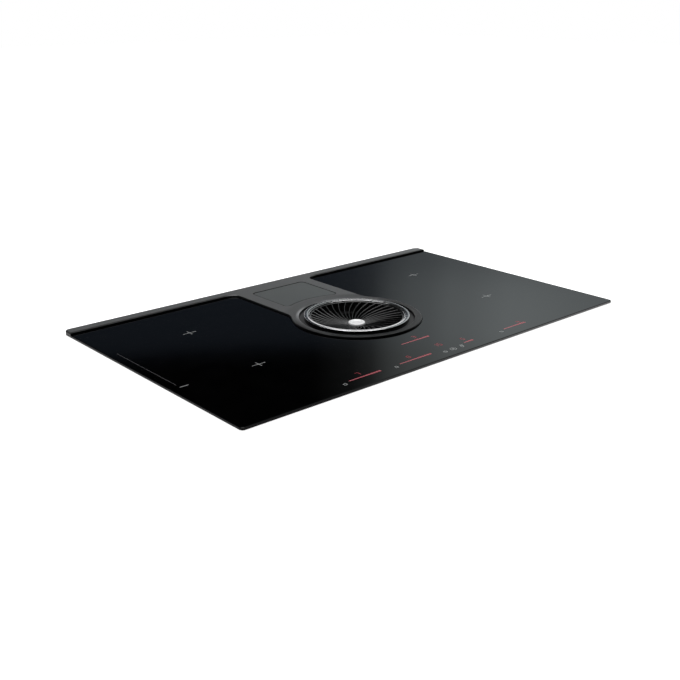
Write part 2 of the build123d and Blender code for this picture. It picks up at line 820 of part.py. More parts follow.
def fan_frame(x, y):
    """Square frame with a round bore and a motor mount on four struts."""
    half = fan_size / 2
    top = tray_inner_floor_z + fan_thickness
    frame = block(x - half, x + half, y - half, y + half, tray_inner_floor_z, top)
    frame -= disc(fan_rotor_radius + fan_bore_clearance, tray_inner_floor_z, top, x, y)
    strut = fan_strut_width / 2
    reach = fan_rotor_radius + 2 * fan_bore_clearance
    mount_top = tray_inner_floor_z + fan_mount_height
    spider = block(x - reach, x + reach, y - strut, y + strut, tray_inner_floor_z, mount_top)
    spider += block(x - strut, x + strut, y - reach, y + reach, tray_inner_floor_z, mount_top)
    spider += disc(fan_hub_radius, tray_inner_floor_z, mount_top, x, y)
    hole = disc(fan_axle_radius + shaft_clearance, tray_inner_floor_z, mount_top, x, y)
    return frame + spider - hole


def fan_rotor(x, y):
    """Hub with slanted blades and an axle into the mount."""
    bottom = tray_inner_floor_z + fan_mount_height + fan_hub_clearance
    top = tray_inner_floor_z + fan_thickness - fan_hub_clearance
    rotor = disc(fan_hub_radius, bottom, top)
    length = fan_rotor_radius - fan_hub_radius
    blade = Rot(fan_blade_pitch, 0, 0) * Box(length, fan_blade_thickness, fan_blade_width)
    blade = Pos(fan_hub_radius + length / 2 - fuse, 0, (bottom + top) / 2) * blade
    rotor += [Rot(0, 0, 360 * i / fan_blade_count) * blade for i in range(fan_blade_count)]
    rotor += disc(fan_axle_radius, tray_inner_floor_z + fan_hub_clearance, bottom)
    return Pos(x, y, 0) * rotor


def control_board():
    """T-shaped touch board under the front edge, with its displays and posts on the rails."""
    top = glass_bottom_z - control_drop
    bottom = top - board_thickness
    half = control_width / 2
    back_y = control_y + control_length / 2
    board = block(-half, half, control_y - control_length / 2, back_y, bottom, top)
    tab = control_tab_width / 2
    board += block(-tab, tab, back_y, back_y + control_tab_length, bottom, top)
    pieces = [board]
    for x in rail_lines():
        if abs(x) < half:
            for y in (control_y - control_length / 4, control_y + control_length / 4):
                pieces.append(disc(control_post_radius, rail_top_z, bottom, x, y))
    display_y = back_y - display_inset - display_length / 2
    places = [(x, display_y) for x in display_xs]
    places.append((0, back_y + control_tab_length - display_inset - display_length / 2))
    dx = display_width / 2
    dy = display_length / 2
    for x, y in places:
        pieces.append(block(x - dx, x + dx, y - dy, y + dy, top, glass_bottom_z - joint_gap))
    return pieces


# ---- extractor ------------------------------------------------------------------------
def intake_duct():
    """Flat duct under the tray from the well's window to the blower's eye."""
    mouth_y = inlet_y + math.sqrt(well_outer_radius**2 - (duct_mouth_width / 2) ** 2)
    mouth = Pos(0, mouth_y + duct_mouth_depth / 2) * Rectangle(duct_mouth_width, duct_mouth_depth)
    eye = Pos(blower_x, blower_y) * Circle(duct_round_radius)
    outline = make_hull(mouth.edges() + eye.edges())
    duct = slab(outline, duct_floor_z, tray_floor_z)
    inside = slab(offset(outline, amount=-duct_wall), duct_floor_z + duct_wall, tray_floor_z - duct_wall)
    inner_half = duct_mouth_width / 2 - duct_wall
    duct -= inside
    duct -= block(
        -inner_half, inner_half, inlet_y, mouth_y + duct_mouth_depth / 2,
        duct_floor_z + duct_wall, tray_floor_z - duct_wall,
    )
    duct -= disc(well_outer_radius + lift_clearance, duct_floor_z, tray_floor_z, 0, inlet_y)
    return duct - disc(scroll_inlet_radius, duct_floor_z, duct_floor_z + duct_wall, blower_x, blower_y)


def scroll_shell(top):
    """Half of the scroll casing: plate, spiral wall and the flange that joins the halves."""
    inside = scroll_outline()
    outside = scroll_outline(scroll_wall)
    flange = scroll_outline(scroll_wall + scroll_flange)
    z0, z1 = (scroll_middle_z, duct_floor_z) if top else (scroll_bottom_z, scroll_middle_z)
    seam = scroll_middle_z
    rim = seam + scroll_flange_thickness if top else seam - scroll_flange_thickness
    shell = slab(outside, z0, z1) + slab(flange, min(seam, rim), max(seam, rim))
    hollow0 = z0 if top else z0 + scroll_wall
    hollow1 = z1 - scroll_wall if top else z1
    shell -= slab(inside, hollow0, hollow1)
    past_y = scroll_outlet_y + scroll_start_radius
    shell -= block(outlet_x - past_y, outlet_x + past_y, scroll_outlet_y, past_y, z0, z1)
    for x, y in scroll_screw_places():
        shell -= disc(screw_radius + shaft_clearance, min(seam, rim), max(seam, rim), x, y)
    if top:
        shell -= disc(scroll_inlet_radius, z1 - scroll_wall, z1, blower_x, blower_y)
    else:
        for x, y in motor_screw_places():
            shell -= disc(screw_radius + shaft_clearance, z0, z0 + scroll_wall, x, y)
    return shell


def scroll_screw_places():
    grow = scroll_wall + scroll_flange / 2
    return [scroll_point(angle, grow) for angle in scroll_screw_angles]


def motor_screw_places():
    spread = motor_base_radius - 2 * screw_head_radius
    places = [polar(spread, 360 * i / motor_screw_count) for i in range(motor_screw_count)]
    return [(blower_x + x, blower_y + y) for x, y in places]


# ---- impeller and motor ---------------------------------------------------------------
def impeller():
    """Drum of forward-curved blades between a back plate and a top ring."""
    wheel = tube(rotor_radius - rotor_wall, impeller_radius, impeller_bottom_z, rotor_bottom_z)
    wheel += tube(impeller_inner_radius, impeller_radius, impeller_top_z - impeller_plate, impeller_top_z)
    start = polar(impeller_inner_radius + fuse, 0)
    middle = polar((impeller_inner_radius + impeller_radius) / 2, impeller_blade_lean / 4)
    end = polar(impeller_radius - fuse, impeller_blade_lean)
    blade_face = trace(ThreePointArc(start, middle, end), impeller_blade_thickness)
    blade = slab(blade_face, rotor_bottom_z - fuse, impeller_top_z - impeller_plate + fuse)
    wheel += [Rot(0, 0, 360 * i / impeller_blade_count) * blade for i in range(impeller_blade_count)]
    return Pos(blower_x, blower_y, 0) * wheel


def rotor_can():
    """Outer rotor cup on the impeller's back plate, with a hub for the shaft."""
    can = disc(rotor_radius, rotor_bottom_z, rotor_top_z)
    can -= disc(rotor_radius - rotor_wall, rotor_bottom_z, rotor_top_z - rotor_wall)
    can += disc(bearing_radius, bearing_tube_top_z + motor_gap, rotor_top_z)
    can -= disc(shaft_radius + shaft_clearance, bearing_tube_top_z, rotor_top_z - rotor_wall / 2)
    return Pos(blower_x, blower_y, 0) * fillet(can.edges().group_by(Axis.Z)[-1], rotor_wall / 2)


def motor_shaft():
    return disc(shaft_radius, motor_base_top_z, rotor_top_z - rotor_wall / 2, blower_x, blower_y)


def bearing_levels():
    """Bottom of the lower and of the upper bearing."""
    return [motor_base_top_z, bearing_tube_top_z - bearing_height]


def motor_bearings():
    inner = shaft_radius + shaft_clearance
    outer = bearing_radius - shaft_clearance
    return [tube(inner, outer, z, z + bearing_height, blower_x, blower_y) for z in bearing_levels()]


def motor_base():
    """Flange on the scroll floor with the bearing tube."""
    base = disc(motor_base_radius, scroll_floor_z, motor_base_top_z)
    base += tube(bearing_radius, bearing_tube_radius, scroll_floor_z, bearing_tube_top_z)
    base = Pos(blower_x, blower_y, 0) * base
    for x, y in motor_screw_places():
        base -= disc(screw_radius + shaft_clearance, scroll_floor_z, motor_base_top_z, x, y)
    return base


def motor_stator():
    """Laminated core with wound poles around the bearing tube."""
    z0 = rotor_bottom_z + motor_gap
    z1 = z0 + stator_height
    inner = bearing_tube_radius + shaft_clearance
    yoke = inner + stator_yoke
    shoe_inner = stator_radius - stator_shoe_thickness
    core = tube(inner, yoke, z0, z1)
    half = stator_pole_width / 2
    pole = block(yoke - fuse, shoe_inner + fuse, -half, half, z0, z1)
    half = stator_shoe_width / 2
    shoe = tube(shoe_inner, stator_radius, z0, z1) & block(0, stator_radius, -half, half, z0, z1)
    half = stator_wire_width / 2
    wire = block(yoke + fuse, shoe_inner - fuse, -half, half, z0 - fuse, z1 + fuse)
    for i in range(stator_pole_count):
        core += Rot(0, 0, 360 * i / stator_pole_count) * (pole + shoe + wire)
    return Pos(blower_x, blower_y, 0) * core


# ---- outlet ---------------------------------------------------------------------------
def lying(radius, y0, y1):
    """Cylinder along Y on the outlet's axis."""
    turn = Pos(outlet_x, (y0 + y1) / 2, outlet_z) * Rot(90, 0, 0)
    return turn * Cylinder(radius, y1 - y0)


def outlet_spigot():
    """Adapter box behind the scroll with a round spigot for the exhaust duct."""
    half = outlet_radius + outlet_box_margin
    y0 = scroll_outlet_y
    end_y = outlet_box_y + outlet_length
    box = block(outlet_x - half, outlet_x + half, y0, outlet_box_y, scroll_bottom_z, tray_floor_z)
    box -= block(
        outlet_x - half + outlet_wall, outlet_x + half - outlet_wall, y0 + outlet_wall,
        outlet_box_y - outlet_wall, scroll_bottom_z + outlet_wall, tray_floor_z - outlet_wall,
    )
    tongue = scroll_point(scroll_tongue_angle)[0]
    side = scroll_point(360)[0]
    box -= block(tongue, side, y0, y0 + outlet_wall, scroll_floor_z, duct_floor_z - scroll_wall)
    spigot = box + lying(outlet_radius, outlet_box_y - outlet_wall, end_y)
    spigot -= lying(outlet_radius - outlet_wall, outlet_box_y - outlet_wall, end_y)
    pin_hole = flap_pin_radius + flap_pin_clearance
    reach = outlet_radius - outlet_wall / 2
    return spigot - disc(pin_hole, outlet_z - reach, outlet_z + reach, outlet_x, flap_pin_y)


def damper_pin():
    reach = outlet_radius - outlet_wall / 2 - shaft_clearance
    return disc(flap_pin_radius, outlet_z - reach, outlet_z + reach, outlet_x, flap_pin_y)


def damper_flap(side):
    """Half disc hinged on the upright pin, with two knuckles that mesh with the other flap's."""
    radius = outlet_radius - outlet_wall - flap_gap
    start = flap_knuckle_radius + flap_knuckle_gap
    y0 = flap_pin_y - flap_thickness / 2
    y1 = flap_pin_y + flap_thickness / 2
    leaf = lying(radius, y0, y1)
    low = min(side * start, side * radius)
    high = max(side * start, side * radius)
    leaf &= block(outlet_x + low, outlet_x + high, y0, y1, outlet_z - radius, outlet_z + radius)
    knuckle = radius / 4
    first = -3 * knuckle if side > 0 else -2 * knuckle
    for i in range(2):
        z0 = outlet_z + first + 2 * knuckle * i + flap_knuckle_gap / 2
        z1 = z0 + knuckle - flap_knuckle_gap
        leaf += disc(flap_knuckle_radius, z0, z1, outlet_x, flap_pin_y)
        near_x = outlet_x + min(0, side * start)
        far_x = outlet_x + max(0, side * start)
        leaf += block(near_x, far_x, y0, y1, z0, z1)
    bore = flap_pin_radius + flap_pin_clearance
    return leaf - disc(bore, outlet_z - radius, outlet_z + radius, outlet_x, flap_pin_y)


# ---- spill drawer ---------------------------------------------------------------------
def drawer_housing():
    """Sheet housing under the well, open at the front below its shelf."""
    half = drawer_housing_width / 2
    y0 = drawer_housing_front_y
    y1 = drawer_housing_back_y
    inner = half - drawer_wall
    housing = block(-half, half, y0, y1, scroll_bottom_z, tray_floor_z)
    shelf_bottom = shelf_top_z - drawer_wall
    housing -= block(-inner, inner, y0 + drawer_wall, y1 - drawer_wall, shelf_top_z, tray_floor_z)
    housing -= block(-inner, inner, y0, y1 - drawer_wall, scroll_bottom_z + drawer_wall, shelf_bottom)
    housing -= disc(well_outer_radius + lift_clearance, shelf_top_z, tray_floor_z, 0, inlet_y)
    spout = well_drain_radius + well_drain_wall + lift_clearance
    return housing - disc(spout, shelf_bottom, shelf_top_z, 0, well_drain_y)


def drawer_runners():
    """Ledges on the housing's side walls under the drawer's rim."""
    inner = drawer_housing_width / 2 - drawer_wall
    top = drawer_top_z - drawer_wall
    y0 = drawer_housing_front_y
    y1 = drawer_housing_back_y - drawer_wall
    left = block(-inner, -inner + runner_width, y0, y1, top - runner_height, top)
    right = block(inner - runner_width, inner, y0, y1, top - runner_height, top)
    return [left, right]


def spill_drawer():
    """Drawer with a rim on the runners, a front plate and a pull."""
    y0 = drawer_housing_front_y
    y1 = drawer_housing_back_y - drawer_wall - drawer_gap
    wall = drawer_wall
    body = drawer_body_half
    drawer = block(-body, body, y0, y1, drawer_floor_z, drawer_top_z)
    drawer += block(-drawer_half, drawer_half, y0, y1, drawer_top_z - wall, drawer_top_z)
    drawer -= block(-body + wall, body - wall, y0 + wall, y1 - wall, drawer_floor_z + wall, drawer_top_z)
    half = drawer_housing_width / 2
    front_y = y0 - drawer_front_thickness
    top = shelf_top_z - drawer_wall - drawer_gap
    drawer += block(-half, half, front_y, y0, drawer_floor_z, top)
    pull = drawer_pull_width / 2
    pull_y = front_y - drawer_pull_reach
    pull_z = (drawer_floor_z + top) / 2
    return drawer + block(-pull, pull, pull_y, front_y, pull_z, pull_z + drawer_pull_height)


# ---- mains terminal box ---------------------------------------------------------------
def terminal_screw_places():
    dx = terminal_width / 2 - 2 * screw_head_radius
    dy = terminal_length / 2 - 2 * screw_head_radius
    return [(terminal_x + sx * dx, terminal_y + sy * dy) for sx in (-1, 1) for sy in (-1, 1)]


def terminal_box():
    """Box under the tray, open below, with four screw posts and a cable hole at the rear."""
    x0 = terminal_x - terminal_width / 2
    x1 = terminal_x + terminal_width / 2
    y0 = terminal_y - terminal_length / 2
    y1 = terminal_back_y
    z0 = terminal_bottom_z
    wall = terminal_wall
    box = block(x0, x1, y0, y1, z0, tray_floor_z)
    box -= block(x0 + wall, x1 - wall, y0 + wall, y1 - wall, z0, tray_floor_z - wall)
    for x, y in terminal_screw_places():
        box += disc(screw_head_radius, z0, tray_floor_z - wall / 2, x, y)
        box -= disc(screw_radius + shaft_clearance, z0, z0 + screw_length, x, y)
    hole_radius = gland_bore_radius + joint_gap
    hole = Pos(terminal_x, terminal_back_y, gland_z) * Rot(90, 0, 0) * Cylinder(hole_radius, 4 * wall)
    return box - hole


def terminal_cover():
    x0 = terminal_x - terminal_width / 2
    x1 = terminal_x + terminal_width / 2
    y0 = terminal_y - terminal_length / 2
    z0 = terminal_bottom_z - terminal_wall
    cover = block(x0, x1, y0, terminal_back_y, z0, terminal_bottom_z)
    cover = fillet(cover.edges().filter_by(Axis.Z), terminal_wall)
    for x, y in terminal_screw_places():
        cover -= disc(screw_radius + shaft_clearance, z0, terminal_bottom_z, x, y)
    return cover


def terminal_block():
    """Row of clamps for the mains wires, fixed under the tray floor."""
    top = tray_floor_z - terminal_wall
    first = terminal_x - terminal_pole_pitch * (terminal_pole_count - 1) / 2
    half = terminal_pole_pitch / 2
    width = terminal_pole_pitch * terminal_pole_count
    bottom = top - terminal_block_height
    y0 = terminal_y - 3 * terminal_block_length / 4
    y1 = y0 + terminal_block_length
    body = block(first - half, first - half + width, y0, y1, bottom, top)
    for i in range(terminal_pole_count):
        x = first + terminal_pole_pitch * i
        for y in (y0 + terminal_block_length / 4, y1 - terminal_block_length / 4):
            body -= disc(screw_head_radius, bottom, bottom + terminal_block_height / 2, x, y)
    return body


def cable_gland():
    """Gland with a hexagonal body on the rear of the terminal box."""
    turn = Pos(terminal_x, terminal_back_y, gland_z) * Rot(-90, 0, 0)
    nut = extrude(RegularPolygon(gland_outer_radius, 6), amount=gland_length / 2)
    sleeve = Pos(0, 0, 3 * gland_length / 4) * Cylinder(gland_sleeve_radius, gland_length / 2)
    return turn * (nut + sleeve - Cylinder(gland_bore_radius, 3 * gland_length))


# ---- screws ---------------------------------------------------------------------------
def assembly_screws():
    screws = []
    for x, y in scroll_screw_places():
        screws.append(screw(x, y, scroll_middle_z + scroll_flange_thickness))
    for x, y in motor_screw_places():
        screws.append(screw(x, y, motor_base_top_z, length=motor_base_thickness + scroll_wall))
    for x, y in terminal_screw_places():
        screws.append(screw(x, y, terminal_bottom_z - terminal_wall, up=False))
    return screws


# ---- write every node -----------------------------------------------------------------
def main():
    os.makedirs("parts", exist_ok=True)
    save("glass_panel", glass_panel())
    save("worktop_seal", worktop_seal())
    save("centre_trim", centre_trim())
    save("centre_frame", centre_frame())
    save("inlet_well", inlet_well())
    save("grille_rim", grille_rim())
    save("grille_fins", grille_fins())
    save("grille_cap", grille_cap())
    save("filter_basket", filter_basket())
    save("filter_mesh", filter_mesh())
    save("filter_handle", filter_handle())
    save("weighing_plate", weighing_plate())
    save("load_cell", load_cell())
    save("load_cell_bracket", load_cell_bracket())
    save("main_tray", *main_tray())
    save("glass_support", glass_support())
    save("worktop_clips", *worktop_clips())
    for name, place in zones.items():
        save("coil_winding_" + name, coil_winding(*place))
        save("coil_carrier_" + name, coil_carrier(*place))
    save("ferrite_bars", *ferrite_bars())
    save("coil_insulators", *coil_insulators())
    save("coil_sensors", *coil_sensors())
    save("coil_rails", *coil_rails())
    save("coil_spacers", *coil_spacers())
    for name, side in (("left", -1), ("right", 1)):
        save("power_board_" + name, *power_board(side))
        save("heatsink_" + name, heatsink(side))
        save("cooling_fan_frame_" + name, fan_frame(side * fan_x, fan_y))
        save("cooling_fan_rotor_" + name, fan_rotor(side * fan_x, fan_y))
        save("damper_flap_" + name, damper_flap(side))
    save("control_board", *control_board())
    save("intake_duct", intake_duct())
    save("scroll_upper", scroll_shell(True))
    save("scroll_lower", scroll_shell(False))
    save("impeller", impeller())
    save("rotor_can", rotor_can())
    save("motor_shaft", motor_shaft())
    save("motor_bearings", *motor_bearings())
    save("motor_stator", motor_stator())
    save("motor_base", motor_base())
    save("outlet_spigot", outlet_spigot())
    save("damper_pin", damper_pin())
    save("drawer_housing", drawer_housing())
    save("drawer_runners", *drawer_runners())
    save("spill_drawer", spill_drawer())
    save("terminal_box", terminal_box())
    save("terminal_block", terminal_block())
    save("terminal_cover", terminal_cover())
    save("cable_gland", cable_gland())
    save("assembly_screws", *assembly_screws())


main()
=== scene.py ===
import bmesh
import bpy
import math
from mathutils import Matrix, Vector


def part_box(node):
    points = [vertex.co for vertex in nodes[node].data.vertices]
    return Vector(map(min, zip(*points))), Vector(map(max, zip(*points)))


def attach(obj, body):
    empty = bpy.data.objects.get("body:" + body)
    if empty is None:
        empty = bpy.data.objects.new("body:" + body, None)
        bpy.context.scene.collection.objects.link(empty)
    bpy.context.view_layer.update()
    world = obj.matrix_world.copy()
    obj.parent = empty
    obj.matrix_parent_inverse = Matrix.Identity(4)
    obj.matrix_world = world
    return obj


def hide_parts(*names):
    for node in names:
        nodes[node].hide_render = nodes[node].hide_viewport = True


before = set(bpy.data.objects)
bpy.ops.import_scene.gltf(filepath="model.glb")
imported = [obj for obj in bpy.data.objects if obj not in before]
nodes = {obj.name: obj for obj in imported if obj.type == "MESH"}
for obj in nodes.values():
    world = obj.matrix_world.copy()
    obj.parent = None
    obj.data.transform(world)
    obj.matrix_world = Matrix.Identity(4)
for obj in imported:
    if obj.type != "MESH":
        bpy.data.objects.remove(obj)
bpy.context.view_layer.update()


# ---- camera -------------------------------------------------------------------------
# Looks from the front left, a little above the worktop, with a moderately long lens.
# It aims at a place on the glass to the left of the grille and in front of it.
camera_target = Vector((-0.0993, -0.0826, 0.005))
camera_azimuth = math.radians(-41.38)
camera_elevation = math.radians(19.84)
camera_distance = 1.5434
camera_lens = 50.7
camera_reach = 100.0
towards_camera = Vector((
    math.sin(camera_azimuth) * math.cos(camera_elevation),
    -math.cos(camera_azimuth) * math.cos(camera_elevation),
    math.sin(camera_elevation),
))
camera = bpy.data.objects.new("camera", bpy.data.cameras.new("camera"))
bpy.context.scene.collection.objects.link(camera)
camera.location = camera_target + towards_camera * camera_distance
camera.rotation_euler = towards_camera.to_track_quat("Z", "Y").to_euler()
camera.data.lens = camera_lens
camera.data.clip_end = camera_reach
bpy.context.scene.camera = camera
bpy.context.scene.view_settings.view_transform = "Standard"


# ---- studio -------------------------------------------------------------------------
# A white worktop with a cut-out for the body, white surroundings, two soft lamps, and a
# ring of dark panels that stand far away and are mirrored by the glass.
def new_mesh(name, points, faces, smooth=False):
    mesh = bpy.data.meshes.new(name)
    mesh.from_pydata([tuple(p) for p in points], [], faces)
    mesh.update()
    for polygon in mesh.polygons:
        polygon.use_smooth = smooth
    piece = bpy.data.objects.new(name, mesh)
    bpy.context.scene.collection.objects.link(piece)
    return piece


def new_material(name):
    material = bpy.data.materials.new(name)
    material.use_nodes = True
    tree = material.node_tree
    tree.nodes.clear()
    return material, tree


def plug(tree, target, value):
    """Link a node's first output, or a socket, to an input, or set the input to a value."""
    if isinstance(value, bpy.types.Node):
        value = value.outputs[0]
    if isinstance(value, bpy.types.NodeSocket):
        tree.links.new(value, target)
    else:
        target.default_value = value


def add_node(tree, kind, *first_inputs, **named):
    """Add a node; unnamed values go to its inputs in order, named ones to a property or input."""
    node = tree.nodes.new(kind)
    inputs = {key: value for key, value in named.items() if not hasattr(node, key)}
    for key, value in named.items():
        if key not in inputs:
            setattr(node, key, value)
    for key, value in inputs.items():
        plug(tree, node.inputs[key.replace("_", " ")], value)
    for target, value in zip(node.inputs, first_inputs):
        plug(tree, target, value)
    return node


def calc(tree, operation, *values):
    return add_node(tree, "ShaderNodeMath", *values, operation=operation)


def ramp(tree, value, shades, tint=(1, 1, 1)):
    """Colour ramp through greys at the given places, all tinted alike."""
    node = add_node(tree, "ShaderNodeValToRGB", value)
    elements = node.color_ramp.elements
    while len(elements) < len(shades):
        elements.new(0.5)
    for element, (place, grey) in zip(elements, shades):
        element.position = place
        element.color = (*[grey * part for part in tint], 1)
    return node


def mix_colours(tree, share, first, second, blend="MIX"):
    mixed = add_node(tree, "ShaderNodeMix", share, data_type="RGBA", blend_type=blend)
    plug(tree, mixed.inputs[6], first)
    plug(tree, mixed.inputs[7], second)
    return mixed.outputs[2]


def light_path_choice(tree):
    """1 where the camera, a mirror or a pane looks at the surroundings."""
    seen_by = add_node(tree, "ShaderNodeLightPath").outputs
    first = calc(tree, "MAXIMUM", seen_by["Is Camera Ray"], seen_by["Is Glossy Ray"])
    return calc(tree, "MAXIMUM", first, seen_by["Is Transmission Ray"])


cut_half_x = 0.4035
cut_half_y = 0.238
floor_half = 9.0
floor_glow = 0.68
floor_points = []
for half_x, half_y in ((cut_half_x, cut_half_y), (floor_half, floor_half)):
    floor_points += [(-half_x, -half_y, 0), (half_x, -half_y, 0), (half_x, half_y, 0), (-half_x, half_y, 0)]
floor_faces = [(i, i + 4, (i + 1) % 4 + 4, (i + 1) % 4) for i in range(4)]
floor = new_mesh("worktop_floor", floor_points, floor_faces)
floor_material, tree = new_material("white_worktop")
board = add_node(tree, "ShaderNodeBsdfDiffuse", Color=(0.8, 0.8, 0.8, 1))
glow = add_node(tree, "ShaderNodeEmission", Color=(1, 1, 1, 1), Strength=floor_glow)
both = add_node(tree, "ShaderNodeAddShader", board, glow)
seen = add_node(tree, "ShaderNodeMixShader", light_path_choice(tree), board, both)
side = add_node(tree, "ShaderNodeNewGeometry")
clear = add_node(tree, "ShaderNodeBsdfTransparent")
one_sided = add_node(tree, "ShaderNodeMixShader", side.outputs["Backfacing"], seen, clear)
add_node(tree, "ShaderNodeOutputMaterial", one_sided)
floor.data.materials.append(floor_material)

world_light = 0.45
world_seen = 1.0
world = bpy.data.worlds.new("studio")
bpy.context.scene.world = world
world.use_nodes = True
tree = world.node_tree
tree.nodes.clear()
lit = add_node(tree, "ShaderNodeBackground", Color=(1, 1, 1, 1), Strength=world_light)
white = add_node(tree, "ShaderNodeBackground", Color=(1, 1, 1, 1), Strength=world_seen)
mixed = add_node(tree, "ShaderNodeMixShader", light_path_choice(tree), lit, white)
add_node(tree, "ShaderNodeOutputWorld", mixed)

for lamp_name, place, size, power in (
    ("overhead_softbox", (0.3, 0.5, 2.6), 2.4, 55.0),
    ("side_softbox", (-2.4, -0.9, 1.6), 1.4, 14.0),
):
    lamp_data = bpy.data.lights.new(lamp_name, "AREA")
    lamp_data.shape = "SQUARE"
    lamp_data.size = size
    lamp_data.energy = power
    lamp = bpy.data.objects.new(lamp_name, lamp_data)
    bpy.context.scene.collection.objects.link(lamp)
    lamp.location = place
    lamp.rotation_euler = Vector(place).to_track_quat("Z", "Y").to_euler()
    lamp.visible_camera = False

panel_radius = 9.0
panel_low = math.tan(math.radians(12.5)) * panel_radius
panel_high = math.tan(math.radians(56)) * panel_radius
panel_steps = 72
panel_shades = (
    (0.0, 0.0), (0.108, 0.0), (0.118, 0.03), (0.1215, 0.08), (0.1245, 0.21), (0.131, 0.34), (0.138, 0.46),
    (0.150, 0.60), (0.170, 0.50), (0.30, 0.45), (0.42, 0.03), (0.60, 0.02), (0.70, 0.12), (0.80, 0.12),
    (0.90, 0.02), (1.0, 0.0),
)
rise_shades = ((0.0, 0.36), (0.03, 0.50), (0.055, 0.76), (0.075, 0.88), (0.10, 0.97), (0.14, 1.0))
dusk_shades = ((0.0, 0.045), (0.07, 0.036), (0.10, 0.038), (0.114, 0.034), (0.127, 0.008), (0.14, 0.0))
panel_points = []
for step in range(panel_steps + 1):
    turn = 2 * math.pi * step / panel_steps
    for height in (panel_low, panel_high):
        panel_points.append((panel_radius * math.sin(turn), panel_radius * math.cos(turn), height))
panel_faces = [(2 * i, 2 * i + 1, 2 * i + 3, 2 * i + 2) for i in range(panel_steps)]
panels = new_mesh("dark_panels", panel_points, panel_faces)
panel_map = panels.data.uv_layers.new(name="around")
for loop in panels.data.loops:
    panel_map.data[loop.index].uv = (loop.vertex_index // 2 / panel_steps, loop.vertex_index % 2)
panel_material, tree = new_material("panel_paint")
split = add_node(tree, "ShaderNodeSeparateXYZ", add_node(tree, "ShaderNodeUVMap", uv_map="around"))
shade = ramp(tree, split.outputs["X"], panel_shades, (0.925, 1, 0.995))
shade.color_ramp.interpolation = "EASE"
rise = ramp(tree, split.outputs["Y"], rise_shades)
dusk = ramp(tree, split.outputs["Y"], dusk_shades, (0.7, 0.9, 1.2))
raised = mix_colours(tree, 1.0, shade, rise, "MULTIPLY")
total = mix_colours(tree, 1.0, raised, dusk, "ADD")
paint = add_node(tree, "ShaderNodeEmission", total, Strength=1.0)
add_node(tree, "ShaderNodeOutputMaterial", paint)
panels.data.materials.append(panel_material)
panels.visible_camera = False
panels.visible_diffuse = False
panels.visible_shadow = False


# ---- glass plate --------------------------------------------------------------------
# Black glass-ceramic, 4 mm thick, polished on top with a ground bevel along its edges; its
# surface has a faint unevenness and a trace of haze. Its upright faces shine less.
def textured(name, colour, second, scale, stretch=(1, 1, 1), pattern="noise", metallic=0.0,
             rough=(0.4, 0.5), bump=0.0, depth=0.0002, coat=0.0, detail=4.0):
    """Material whose colour, roughness and relief follow one pattern in object coordinates."""
    material, tree = new_material(name)
    place = add_node(tree, "ShaderNodeTexCoord")
    mapping = add_node(tree, "ShaderNodeMapping", place.outputs["Object"], Scale=stretch)
    if pattern == "cells":
        cells = add_node(tree, "ShaderNodeTexVoronoi", mapping, Scale=scale)
        share = add_node(tree, "ShaderNodeSeparateColor", cells.outputs["Color"]).outputs[0]
    else:
        share = add_node(tree, "ShaderNodeTexNoise", mapping, Scale=scale, Detail=detail).outputs["Fac"]
    colours = add_node(tree, "ShaderNodeValToRGB", share)
    for element, position, shade in zip(colours.color_ramp.elements, (0.3, 0.7), (colour, second)):
        element.position = position
        element.color = (*shade, 1)
    shine = add_node(tree, "ShaderNodeMapRange", share, To_Min=rough[0], To_Max=rough[1])
    shader = add_node(tree, "ShaderNodeBsdfPrincipled", Base_Color=colours, Roughness=shine,
                      Metallic=metallic, Coat_Weight=coat)
    if bump:
        relief = add_node(tree, "ShaderNodeBump", Strength=bump, Distance=depth, Height=share)
        plug(tree, shader.inputs["Normal"], relief)
    add_node(tree, "ShaderNodeOutputMaterial", shader)
    return material


def level(tree, value, low, high, at_low, at_high, smooth=False):
    """Number that goes from at_low to at_high while the value goes from low to high."""
    return add_node(tree, "ShaderNodeMapRange", value, low, high, at_low, at_high,
                    interpolation_type="SMOOTHSTEP" if smooth else "LINEAR")


def dress(node_name, material):
    """Give a CAD node its material."""
    mesh = nodes[node_name].data
    mesh.materials.clear()
    mesh.materials.append(material)


def find_node(tree, kind):
    return next(n for n in tree.nodes if n.type == kind)


def slope(tree):
    """1 on level faces and 0 on upright ones."""
    facing = add_node(tree, "ShaderNodeNewGeometry")
    return add_node(tree, "ShaderNodeSeparateXYZ", facing.outputs["True Normal"]).outputs["Z"]


glass_black = textured("black_glass_ceramic", (0.0003, 0.0003, 0.0004), (0.0008, 0.0008, 0.0009), 35.0,
                       rough=(0.035, 0.06), bump=0.02, depth=0.0004)
tree = glass_black.node_tree
across = add_node(tree, "ShaderNodeSeparateXYZ", find_node(tree, "TEX_COORD").outputs["Object"])
ground_gloss = level(tree, across.outputs["X"], -0.25, 0.15, 0.06, 0.55)
polished_gloss = 0.5
gloss = level(tree, slope(tree), 0.1, 0.6, ground_gloss, polished_gloss)
plug(tree, find_node(tree, "BSDF_PRINCIPLED").inputs["Specular IOR Level"], gloss)
dress("glass_panel", glass_black)


# ---- marks on the glass -------------------------------------------------------------
# Zone crosses and touch symbols are light grey ceramic print, fired into the surface.
# Each is a film 0.05 mm thick, sunk 0.02 mm into the glass.
glass_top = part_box("glass_panel")[1].z
print_low = glass_top - 0.00002
print_high = glass_top + 0.00003
box_faces = [(3, 2, 1, 0), (4, 5, 6, 7), (0, 1, 5, 4), (1, 2, 6, 5), (2, 3, 7, 6), (3, 0, 4, 7)]


def sleeve_faces(slices, around, first=0):
    """Faces between slices of points that follow each other, each going once around."""
    return [
        (here + k, here + (k + 1) % around, here + around + (k + 1) % around, here + around + k)
        for here in range(first, first + (slices - 1) * around, around) for k in range(around)
    ]


